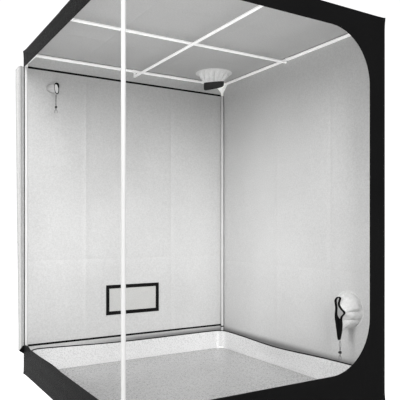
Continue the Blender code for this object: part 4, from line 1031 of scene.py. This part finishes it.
def sleeve_loops(
    mouth, valleys, radius, length, sides, rings, crumple, seed, bulge, tilt=0.0, ease=1.0, droop=0.0
):
    """Loops from the flange, at height 0, to the mouth. Each valley is an angle, a depth and a width."""
    loops = []
    for k in range(rings + 1):
        share = k / rings
        blend = share ** ease
        swell = math.sin(math.pi * share) ** 0.8 if 0 < share < 1 else 0.0
        loop = []
        for i in range(sides):
            angle = math.tau * i / sides
            base = Vector((radius * math.cos(angle), radius * math.sin(angle)))
            tip = curve_through(mouth, i / sides)
            low = smooth(-2 * base.y / radius) if droop else 0.0
            flat = base.lerp(tip, blend)
            flat.y = base.y + (tip.y - base.y) * share ** (ease + droop * low)
            out = base.normalized()
            fold = 0.0
            for at, depth, width in valleys:
                away = math.atan2(math.sin(angle - at), math.cos(angle - at)) / width
                fold -= depth * math.exp(-away * away)
            rough = crumple * noise.noise(Vector((math.cos(angle) * 3, math.sin(angle) * 3, share * 4 + seed)))
            rough += crumple * 0.5 * noise.noise(Vector((math.cos(angle) * 8, math.sin(angle) * 8, share * 9 + seed)))
            flat += out * (bulge * (1 - low) + fold + rough) * swell
            loop.append(Vector((flat.x, flat.y, length * share + flat.y * tilt * blend)))
        loops.append(loop)
    return loops


def skin(loops):
    """Faces between equal loops, each following the one before."""
    count = len(loops[0])
    faces = []
    for k in range(len(loops) - 1):
        for i in range(count):
            j = (i + 1) % count
            faces.append((k * count + i, k * count + j, (k + 1) * count + j, (k + 1) * count + i))
    return faces


def gathered_sleeve(name, place, loops, flange, body, node, looks):
    """Sews a sleeve of its loops, with a flat flange outside the first."""
    first = loops[0]
    rim = [Vector((p.x, p.y, 0)).normalized() * (p.xy.length + flange) for p in first]
    rim_low = [Vector((p.x, p.y, 0.0004)) for p in rim]
    rim_in = [(a + b) / 2 + Vector((0, 0, 0.0006)) for a, b in zip(rim_low, first)]
    start = [Vector((p.x, p.y, 0.0006)) for p in first]
    whole = [rim_low, rim_in, start] + loops[1:]
    points = [place @ point for loop in whole for point in loop]
    made = sew(name, points, skin(whole), looks, 0.0008, 0.0)
    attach(made, body)
    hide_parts(node)
    return made


def ring_mesh(name, loops, sharp_degrees=35):
    """A closed ring of webbing through loops of points, the last loop joined to the first."""
    shape = bmesh.new()
    rings = [[shape.verts.new(point) for point in loop] for loop in loops]
    for lower, upper in zip(rings, rings[1:] + rings[:1]):
        bridge(shape, lower, upper)
    return mesh_of(name, shape, sharp_degrees)


# The hem's cross-section: the share of its depth, how far out it lies, and the share of its lining.
HEM_PROFILE = (
    (0.0, 0.0003, 0), (0.0, 0.0014, 0), (0.06, 0.0021, 0), (0.5, 0.0024, 0), (0.94, 0.0021, 0), (1.0, 0.0012, 0),
    (1.0, 0.0, 0), (0.94, -0.0008, 0), (0.5, -0.0011, 0), (0.0, -0.0011, 0), (0.0, -0.0013, 0.5), (0.0, -0.0014, 1.0),
    (0.0, -0.0008, 1.0), (0.0, -0.0007, 0.5),
)


def hem_band(name, place, loop, depths, flares, linings, body, node, look=trim):
    """The black hem: a soft doubled band that carries on from the mouth, and a lining turned in behind it."""
    count = len(loop)
    rings = []
    for lift, out, inside in HEM_PROFILE:
        ring = []
        for i, point in enumerate(loop):
            along = (loop[(i + 1) % count] - loop[i - 1]).normalized()
            side = Vector((along.y, -along.x, 0)).normalized()
            wobble = 0.0006 * noise.noise(Vector((point.x * 90, point.y * 90, lift * 2)))
            out_by = out + flares(i / count) * lift + wobble
            rise = depths(i / count) * lift - linings(i / count) * inside
            ring.append(place @ (point + side * out_by + Vector((0, 0, rise + 0.0003))))
        rings.append(ring)
    made = put(name, ring_mesh(name, rings, 60), [look])
    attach(made, body)
    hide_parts(node)
    return made


sleeve_colours = ((0.60, 0.60, 0.595, 1), (0.55, 0.55, 0.545, 1))
thin_cloth = {"Subsurface Weight": 0.5, "Subsurface Radius": (0.004, 0.004, 0.004), "Subsurface Scale": 1.0}
sleeve_film = silver_film("sleeve_film", sleeve_colours, 0.45, more=thin_cloth)


def painted_light_through(strength):
    """A painted glow that stands in for the light coming through thin cloth, seen from inside."""
    return {"Emission Color": (0.5, 0.5, 0.5, 1), "Emission Strength": strength}


# The sleeves' inner side glows: painted light.
sleeve_lining = silver_film("sleeve_lining", sleeve_colours, 0.45, more=painted_light_through(0.95))

# Roof duct port
# A 236 mm sleeve for a fan's duct hangs from the roof. Its mouth is drawn flat, and its hem is a
# wide black band.
# The roof sleeve takes a lighter copy of the sleeve film: painted light for the dim roof.
lightened_roof_film = silver_film("roof_sleeve_film_painted_light", ((0.82, 0.82, 0.815, 1), (0.74, 0.74, 0.735, 1)), 0.45)
# The roof hem takes a lighter copy of the black webbing: painted light.
lightened_roof_webbing = webbing("roof_hem_webbing_painted_light", 0.038, 0.048)
angles = [math.tau * i / 16 for i in range(16)]
roof_mouth = [(0.015 * math.cos(a), 0.069 * math.sin(a)) for a in angles]
roof_valleys = [
    (-0.07, 0.020, 0.07), (0.33, 0.008, 0.12), (0.98, 0.007, 0.15), (1.75, 0.008, 0.18), (2.55, 0.007, 0.16),
    (3.15, 0.013, 0.11), (3.9, 0.008, 0.17), (4.75, 0.008, 0.11), (5.35, 0.011, 0.12), (5.85, 0.009, 0.08),
]
roof_turn = Matrix.Rotation(math.radians(-31) - quarter_turn, 4, "Z") @ Matrix.Rotation(math.pi, 4, "X")
roof_place = Matrix.Translation((*ROOF_DUCT, BODY_HIGH)) @ roof_turn
loops = sleeve_loops(
    roof_mouth, roof_valleys, radius=0.1175, length=0.0612, sides=160, rings=28,
    crumple=0.007, seed=3.0, bulge=0.003, tilt=math.tan(math.radians(4.4)), ease=0.9,
)
roof_sleeve = gathered_sleeve(
    "roof_sleeve", roof_place, loops, 0.011, "tent", "roof_duct_sleeve", [lightened_roof_film, sleeve_lining]
)


def roof_hem_depth(share):
    """Deeper at the left end, and rounded off at both."""
    along = math.sin(math.tau * share)
    return 0.044 + 0.009 * along - 0.007 * along ** 12


roof_hem = hem_band(
    "roof_sleeve_hem", roof_place, loops[-1], roof_hem_depth, lambda share: 0.0, lambda share: 0.010,
    "tent", "roof_duct_hem", lightened_roof_webbing,
)

# Wall duct port
# The same sleeve in the right wall, low down. Its mouth hangs open above and pinched below, and a
# drawcord with a cord lock comes out of the hem's foot.
WALL_DUCT = (-0.503, 0.447)
wall_mouth = [
    (0.042, -0.008), (0.020, 0.011), (0.002, 0.033), (0.006, 0.054), (0.011, 0.071), (-0.004, 0.074),
    (-0.021, 0.058), (-0.020, 0.036), (-0.0165, 0.010), (-0.0205, -0.034), (-0.014, -0.072), (-0.007, -0.110),
    (0.003, -0.160), (0.013, -0.135), (0.021, -0.085), (0.020, -0.036),
]
wall_valleys = [
    (0.0, 0.022, 0.15), (-0.55, 0.010, 0.09), (1.2, 0.007, 0.2), (1.95, 0.008, 0.17), (2.7, 0.007, 0.16),
    (3.5, 0.008, 0.17), (4.3, 0.007, 0.15),
]
wall_place = Matrix.Translation((SIDE_REACH, *WALL_DUCT)) @ Matrix.Rotation(-quarter_turn, 4, "Z") @ across_x
loops = sleeve_loops(
    wall_mouth, wall_valleys, radius=0.100, length=0.071, sides=160, rings=32,
    crumple=0.004, seed=9.0, bulge=0.006, ease=1.15, droop=4.0,
)
wall_sleeve = gathered_sleeve(
    "wall_sleeve", wall_place, loops, 0.008, "tent", "wall_duct_sleeve", [sleeve_film, sleeve_lining]
)


def wall_lining(share):
    """The lining shows only inside the lower rear lip."""
    away = (share - 0.635) / 0.055
    return 0.040 * math.exp(-away * away)


wall_hem = hem_band(
    "wall_sleeve_hem", wall_place, loops[-1], lambda share: 0.017, lambda share: 0.0, wall_lining,
    "tent", "wall_duct_hem",
)

# Cable port
# A small sleeve in the rear panel for cables. It hangs a little to the right, half closed, with its
# own drawcord and cord lock.
# The cable sleeve takes a darker copy of the sleeve film: painted shade. Its lining also glows with painted light.
shaded_cable_colours = ((0.38, 0.38, 0.377, 1), (0.35, 0.35, 0.348, 1))
shaded_cable_film = silver_film("shaded_cable_film", shaded_cable_colours, 0.50)
cable_lining = silver_film("cable_lining", shaded_cable_colours, 0.50, more=painted_light_through(0.66))
lean = Matrix.Rotation(0.14, 2)
cable_mouth = [Vector((0.0195, -0.014)) + lean @ Vector((0.0125 * math.cos(a), 0.029 * math.sin(a))) for a in angles]
cable_valleys = [(0.3, 0.003, 0.2), (1.6, 0.003, 0.2), (2.6, 0.003, 0.22), (3.7, 0.003, 0.2), (5.0, 0.003, 0.22)]
cable_place = Matrix.Translation((CABLE_PORT[0], BORDER_FACE, CABLE_PORT[1])) @ across_x
loops = sleeve_loops(
    cable_mouth, cable_valleys, radius=0.0226, length=0.066, sides=96, rings=20, crumple=0.0015, seed=15.0, bulge=0.001
)
cable_sleeve = gathered_sleeve(
    "cable_sleeve", cable_place, loops, 0.005, "rear_panel", "cable_port_sleeve", [shaded_cable_film, cable_lining]
)


def lobe(share, at):
    """1 at a place round the mouth, easing to 0 a quarter of the way to either side."""
    return max(0.0, math.cos(math.tau * (share - at)))


def cable_flare(share):
    """The hem stands out at its top and curls at its foot."""
    return 0.0075 * lobe(share, 0.18) ** 2 + 0.004 * lobe(share, 0.74) ** 2


def cable_depth(share):
    """Turned out at the upper right only."""
    return 0.0012 + 0.0125 * lobe(share, 0.14) ** 3


cable_hem = hem_band(
    "cable_sleeve_hem", cable_place, loops[-1], cable_depth, cable_flare, lambda share: 0.001,
    "rear_panel", "cable_port_hem",
)

# Drawcords
# A grey braided cord, 2.4 mm across, runs in each hem. Its two ends come out at the foot, pass
# through a spring cord lock and hang loose.
CORD_DIAMETER = 0.0024
CORD_SPREAD = 0.0015
CORD_BELLY = {"cable": 0.0022, "wall": 0.0062}
CORD_END_SPREAD = 0.0072
CORD_TAIL = 0.032
LOCK_HEIGHT = 0.013
LOCK_SLIP = 0.0103

braid = toned(
    "grey_braid", {"Specular IOR Level": 0.25}, ((0.07, 0.07, 0.07, 1), (0.035, 0.035, 0.035, 1)), (220.0, 0.8),
    texture=(weave, {"Threads": 1600.0}, -1.0), gloss=(0.7, 0.9), relief=(0.6, 0.0003),
)
lock_nylon = toned(
    "black_nylon_lock", {"Specular IOR Level": 0.45},
    ((0.016, 0.016, 0.016, 1), (0.028, 0.028, 0.028, 1)), (120.0, 0.6),
    texture=(grain, {"Scale": 1800.0}, 0.0), gloss=(0.35, 0.5), relief=(0.2, 0.0002),
)
refinish(lock_nylon, "cable_port_lock", "cable_port_lock_plunger", "wall_duct_lock", "wall_duct_lock_plunger")


def smooth_route(route, count):
    """Even points on a smooth curve through the route's points."""
    knots = [Vector(point) for point in route]
    knots = [2 * knots[0] - knots[1]] + knots + [2 * knots[-1] - knots[-2]]
    spans = len(knots) - 3
    points = []
    for i in range(count):
        place = i / (count - 1) * spans
        k = min(int(place), spans - 1)
        points.append(between(*knots[k : k + 4], place - k))
    return points


def strand(name, foot, across, side, drop, belly, body, node):
    """One end of a drawcord, from the hem's foot down through the lock to its bare end."""
    lock_foot = -drop - LOCK_HEIGHT
    route = [
        (0.7 * CORD_SPREAD, 0),
        (CORD_SPREAD, -CORD_DIAMETER),
        (belly, -drop * 0.3),
        (belly * 0.8, -drop * 0.55),
        (CORD_SPREAD, -drop + LOCK_SLIP),
        (CORD_SPREAD, lock_foot - LOCK_SLIP),
        (CORD_END_SPREAD, lock_foot - LOCK_SLIP - 0.005),
        (CORD_END_SPREAD, lock_foot - CORD_TAIL),
    ]
    points = [foot + Vector(across) * (at.x * side) + Vector((0, 0, at.y)) for at in smooth_route(route, 30)]
    curve = bpy.data.curves.new(name, "CURVE")
    curve.dimensions = "3D"
    curve.bevel_depth = CORD_DIAMETER / 2
    curve.bevel_resolution = 4
    curve.use_fill_caps = True
    spline = curve.splines.new("POLY")
    spline.points.add(len(points) - 1)
    for target, point in zip(spline.points, points):
        target.co = (*point, 1)
    made = bpy.data.objects.new(name, curve)
    curve.materials.append(braid)
    scene.collection.objects.link(made)
    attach(made, body)
    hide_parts(node)


def cord_foot(node):
    """The middle of the top of a CAD cord, where its ends come out of the hem."""
    low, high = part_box(node)
    return Vector(((low.x + high.x) / 2, (low.y + high.y) / 2, high.z - 0.0006))


cable_foot, wall_foot = cord_foot("cable_port_cord"), cord_foot("wall_duct_cord")
for label, side in (("left", -1), ("right", 1)):
    strand(
        "cable_cord_" + label, cable_foot, (1, 0, 0), side, 0.071, CORD_BELLY["cable"], "rear_panel", "cable_port_cord",
    )
    strand(
        "wall_cord_" + label, wall_foot, (0, -1, 0), side, 0.058, CORD_BELLY["wall"], "tent", "wall_duct_cord",
    )

# Rolled door
# The whole door sheet is wound up on its seam outside the rear left corner, silver side out. It is
# one thin sheet of many turns, with soft folds down it and a slumped upper shoulder.
ROLL_RADIUS = 0.0235
ROLL_CORE = 0.0030
ROLL_PITCH = 0.00066
ROLL_SHEET = 0.00045
ROLL_INNER = -0.7560
ROLL_WIDTH = 0.0402
ROLL_BOTTOM = 0.146
ROLL_TOP = 1.909
ROLL_SHOULDER = 0.036
ROLL_EDGE = math.radians(-70)
ROLL_STEPS = 30
ROLL_HEIGHTS = 16
ROLL_TAPER = 0.44
ROLL_TAPER_TOP = 1.80
ROLL_TAPER_LENGTH = 1.56

# The roll's silver is darker than the walls' liner: painted shade.
shaded_roll_film = silver_film("door_film_painted_shade", ((0.41, 0.41, 0.407, 1), (0.38, 0.38, 0.377, 1)), 0.5)
columns = int((ROLL_RADIUS - ROLL_CORE) / ROLL_PITCH * ROLL_STEPS)
flat_roll = []
for i in range(columns + 1):
    theta = math.tau * i / ROLL_STEPS
    radius = ROLL_RADIUS - 0.001 - ROLL_PITCH * (columns - i) / ROLL_STEPS
    outerness = smooth((radius - 0.010) / 0.013)
    reach = radius + outerness * (0.0005 * (math.cos(5 * theta) - 1) + 0.0006 * math.cos(3 * theta + 1))
    turned = theta + ROLL_EDGE - math.tau * (columns / ROLL_STEPS)
    flat_roll.append(Vector((reach * math.cos(turned), reach * math.sin(turned))))
widest = max(point.x for point in flat_roll)
breadth = widest - min(point.x for point in flat_roll)
squeeze = ROLL_WIDTH / breadth
points = []
for point in flat_roll:
    lean = (widest - point.x) / breadth
    top = ROLL_TOP - ROLL_SHOULDER * (1 - math.sqrt(max(0.0, 1 - lean ** 2.4)))
    bottom = ROLL_BOTTOM + 0.010 * (1 - smooth(point.length / ROLL_RADIUS))
    for k in range(ROLL_HEIGHTS + 1):
        z = bottom + (top - bottom) * k / ROLL_HEIGHTS
        narrow = 1 - ROLL_TAPER * min(1.0, max(0.0, (ROLL_TAPER_TOP - z) / ROLL_TAPER_LENGTH))
        sway = 0.0010 * noise.noise(Vector((point.x * 40, point.y * 40, z * 2.2)))
        shift = point.normalized() * sway * smooth(point.length / ROLL_RADIUS)
        x = ROLL_INNER + (point.x - widest) * squeeze * narrow + min(0, shift.x)
        points.append(Vector((x, WALL + point.y + shift.y, z)))
faces = row_faces(columns + 1, ROLL_HEIGHTS + 1)
door_roll = sew("rolled_door", points, faces, [shaded_roll_film], ROLL_SHEET, 0.0)
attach(door_roll, "door_roll")
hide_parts("door_roll")

# Door seam
# A black tape covers the seam that holds the rolled door. The sewn edge of the door runs out from
# under it to the roll, and the door's lower corner is folded over in black at the roll's foot.
SEAM_PLACE = (-0.7457, 0.7478, 1.040)
SEAM_SIZE = (0.0060, 0.0010, 1.742)
SEAM_STITCH = (0.0024, 0.0008, 0.0002)
SEAM_STITCH_LINE = [(-0.7457, 0.7471, 0.172), (-0.7457, 0.7471, 1.908)]
SEWN_EDGE_PLACE = (-0.75025, 0.7489, 1.040)
SEWN_EDGE_SIZE = (0.0105, 0.0010, 1.738)
STRIP_CUTS = 60
DOOR_FOLD = [
    (-0.7545, 0.1818), (-0.7619, 0.1765), (-0.7723, 0.1653), (-0.7822, 0.1520), (-0.7741, 0.1433), (-0.7619, 0.1351),
    (-0.7545, 0.1305),
]
DOOR_FOLD_PLACE = 0.7232
DOOR_FOLD_THICKNESS = 0.0055


def long_strip(place, size):
    """A narrow upright strip, cut across along its whole length."""
    shape = bmesh.new()
    bmesh.ops.create_cube(shape, size=1, matrix=Matrix.Translation(place) @ Matrix.Diagonal((*size, 1)))
    long_edges = [edge for edge in shape.edges if edge.calc_length() > 1]
    bmesh.ops.subdivide_edges(shape, edges=long_edges, cuts=STRIP_CUTS, use_grid_fill=True)
    return shape


seam_shape = long_strip(SEAM_PLACE, SEAM_SIZE)
run_blocks(seam_shape, SEAM_STITCH_LINE, Vector((0, -1, 0)), SEAM_STITCH, STITCH_PITCH)
door_seam = put("door_seam", mesh_of("door_seam", seam_shape), [trim])
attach(door_seam, "tent")
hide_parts("door_seam_tape")

edge_mesh = mesh_of("door_sewn_edge", long_strip(SEWN_EDGE_PLACE, SEWN_EDGE_SIZE))
# The sewn edge takes the sleeve film, lighter than the rolled door's own film: painted light.
door_edge = put("door_sewn_edge", edge_mesh, [sleeve_film])
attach(door_edge, "tent")

fold_shape = bmesh.new()
plate(fold_shape, DOOR_FOLD, DOOR_FOLD_THICKNESS, upright(DOOR_FOLD_PLACE))
door_fold = put("door_corner", mesh_of("door_corner", fold_shape), [oxford])
round_rims(door_fold, 0.0018, 3)
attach(door_fold, "door_roll")
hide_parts("door_corner_fold")

# Post strap
# A loop of black webbing, 9 mm wide, sewn round the foot of the rear right post. It shows as a dark
# ring just above the tray's rim.
STRAP_LEVEL = 0.163
STRAP_OUTER = 0.0112
STRAP_INNER = 0.0098
STRAP_HALF = 0.0045
strap_profile = [
    (STRAP_OUTER, -STRAP_HALF), (STRAP_OUTER + 0.0002, 0), (STRAP_OUTER, STRAP_HALF), (STRAP_INNER, STRAP_HALF),
    (STRAP_INNER, -STRAP_HALF),
]
angles = [math.tau * i / TUBE_SIDES for i in range(TUBE_SIDES)]
strap_loops = [
    [(FRAME_PLACE + r * math.cos(a), FRAME_PLACE + r * math.sin(a), STRAP_LEVEL + z) for a in angles]
    for r, z in strap_profile
]
strap = put("post_webbing", ring_mesh("post_webbing", strap_loops), [trim])
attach(strap, "tent")
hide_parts("post_strap")

# Floor tray
# A lift-out spill tray of pale coated cloth. Its sides stand between the posts and sag inwards, its
# corners are rounded, and a black binding is sewn over the rim.
TRAY_HALF = 0.7259
TRAY_RADIUS = 0.075
TRAY_FLOOR = 0.0013
TRAY_TOP = 0.1353
TRAY_LEAN = 0.004
TRAY_SAGS = (0.040, 0.012, 0.014, 0.016)
BINDING_LOW = 0.1345
BINDING_PROFILE = (
    (-0.0013, BINDING_LOW), (-0.0016, 0.1378), (-0.0010, 0.1406), (0.0006, 0.1412), (0.0018, 0.1404), (0.0023, 0.1378),
    (0.0020, BINDING_LOW),
)
WALL_SHARES = (1.0, 0.985, 0.93, 0.8, 0.65, 0.5, 0.36, 0.22, 0.12, 0.06, 0.025)
FLOOR_SHARES = (0.0, 0.006, 0.02, 0.05, 0.1, 0.17, 0.26, 0.37, 0.5, 0.64, 0.78, 0.9)

tray_film = silver_film("tray_film", ((0.70, 0.70, 0.70, 1), (0.64, 0.64, 0.64, 1)), 0.28, 0.15, 0.35)
# Painted shade: the tray's floor is darker than its sides.
paint_low_shade(tray_film, 0.0045, 0.0075, 0.58)


def tray_loop(inset, sag_share, side_steps=40, corner_steps=10):
    """A rounded square of points whose straight sides bow inwards by their own sag."""
    straight = TRAY_HALF - TRAY_RADIUS
    found = []
    for turn, sag in enumerate(TRAY_SAGS):
        spin = Matrix.Rotation(turn * quarter_turn, 2)
        for i in range(side_steps + 1):
            share = i / side_steps
            bow = sag * sag_share * math.sin(math.pi * share) ** 2
            found.append(spin @ Vector((TRAY_HALF - inset - bow, -straight + 2 * straight * share)))
        for i in range(1, corner_steps):
            angle = quarter_turn * i / corner_steps
            radius = TRAY_RADIUS - inset
            found.append(spin @ Vector((straight + radius * math.cos(angle), straight + radius * math.sin(angle))))
    return found


def tray_rise(at):
    """How much higher the rim stands at the rear left and towards the front right than at the rear right."""
    rise = 0.015 * smooth((-at.x - 0.05) / 0.75) * smooth(at.y / 0.3)
    return rise + 0.011 * smooth((0.12 - at.y) / 0.5) * smooth(at.x / 0.4)


def tray_ripple(x, y, z):
    """Small buckles in the tray's cloth."""
    return noise.noise(Vector((x * 9, y * 9, z * 14 + 4)))


loops = []
for share in WALL_SHARES:
    sag_share = 0.8 * share if share < 0.5 else 0.4 + 1.2 * (share - 0.5)
    z = TRAY_FLOOR + (TRAY_TOP - TRAY_FLOOR) * share
    loop = []
    for at in tray_loop(TRAY_LEAN * share + 0.0002, sag_share):
        inward = Vector((at.x, at.y, 0)).normalized()
        push = 0.0014 * (1 + tray_ripple(at.x, at.y, z)) * smooth(share * 5) * smooth((1 - share) * 8 + 0.2)
        loop.append(Vector((at.x, at.y, z + tray_rise(at) * share)) - inward * push)
    loops.append(loop)
for share in FLOOR_SHARES:
    loop = []
    for at in tray_loop(0.0010, 0.0):
        x, y = at.x * (1 - share), at.y * (1 - share)
        lift = 0.0009 * (1 + tray_ripple(x * 0.6, y * 0.6, 9)) * smooth(share / 0.03)
        loop.append(Vector((x, y, TRAY_FLOOR + 0.0012 + lift)))
    loops.append(loop)
faces = skin(loops)
points = [point for loop in loops for point in loop]
count = len(loops[0])
last = len(points) - count
faces += [(last + i, last + (i + 1) % count, len(points)) for i in range(count)]
points.append(Vector((0, 0, TRAY_FLOOR + 0.002)))
tray = sew("spill_tray", points, faces, [tray_film], 0.0009, 0.0)
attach(tray, "floor_tray")
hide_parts("floor_tray")

rim_loops = [
    [(at.x, at.y, z + tray_rise(at)) for at in tray_loop(TRAY_LEAN + offset, 1.0)] for offset, z in BINDING_PROFILE
]
binding = put("tray_rim_binding", ring_mesh("tray_rim_binding", rim_loops, 60), [trim])
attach(binding, "floor_tray")
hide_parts("tray_binding")
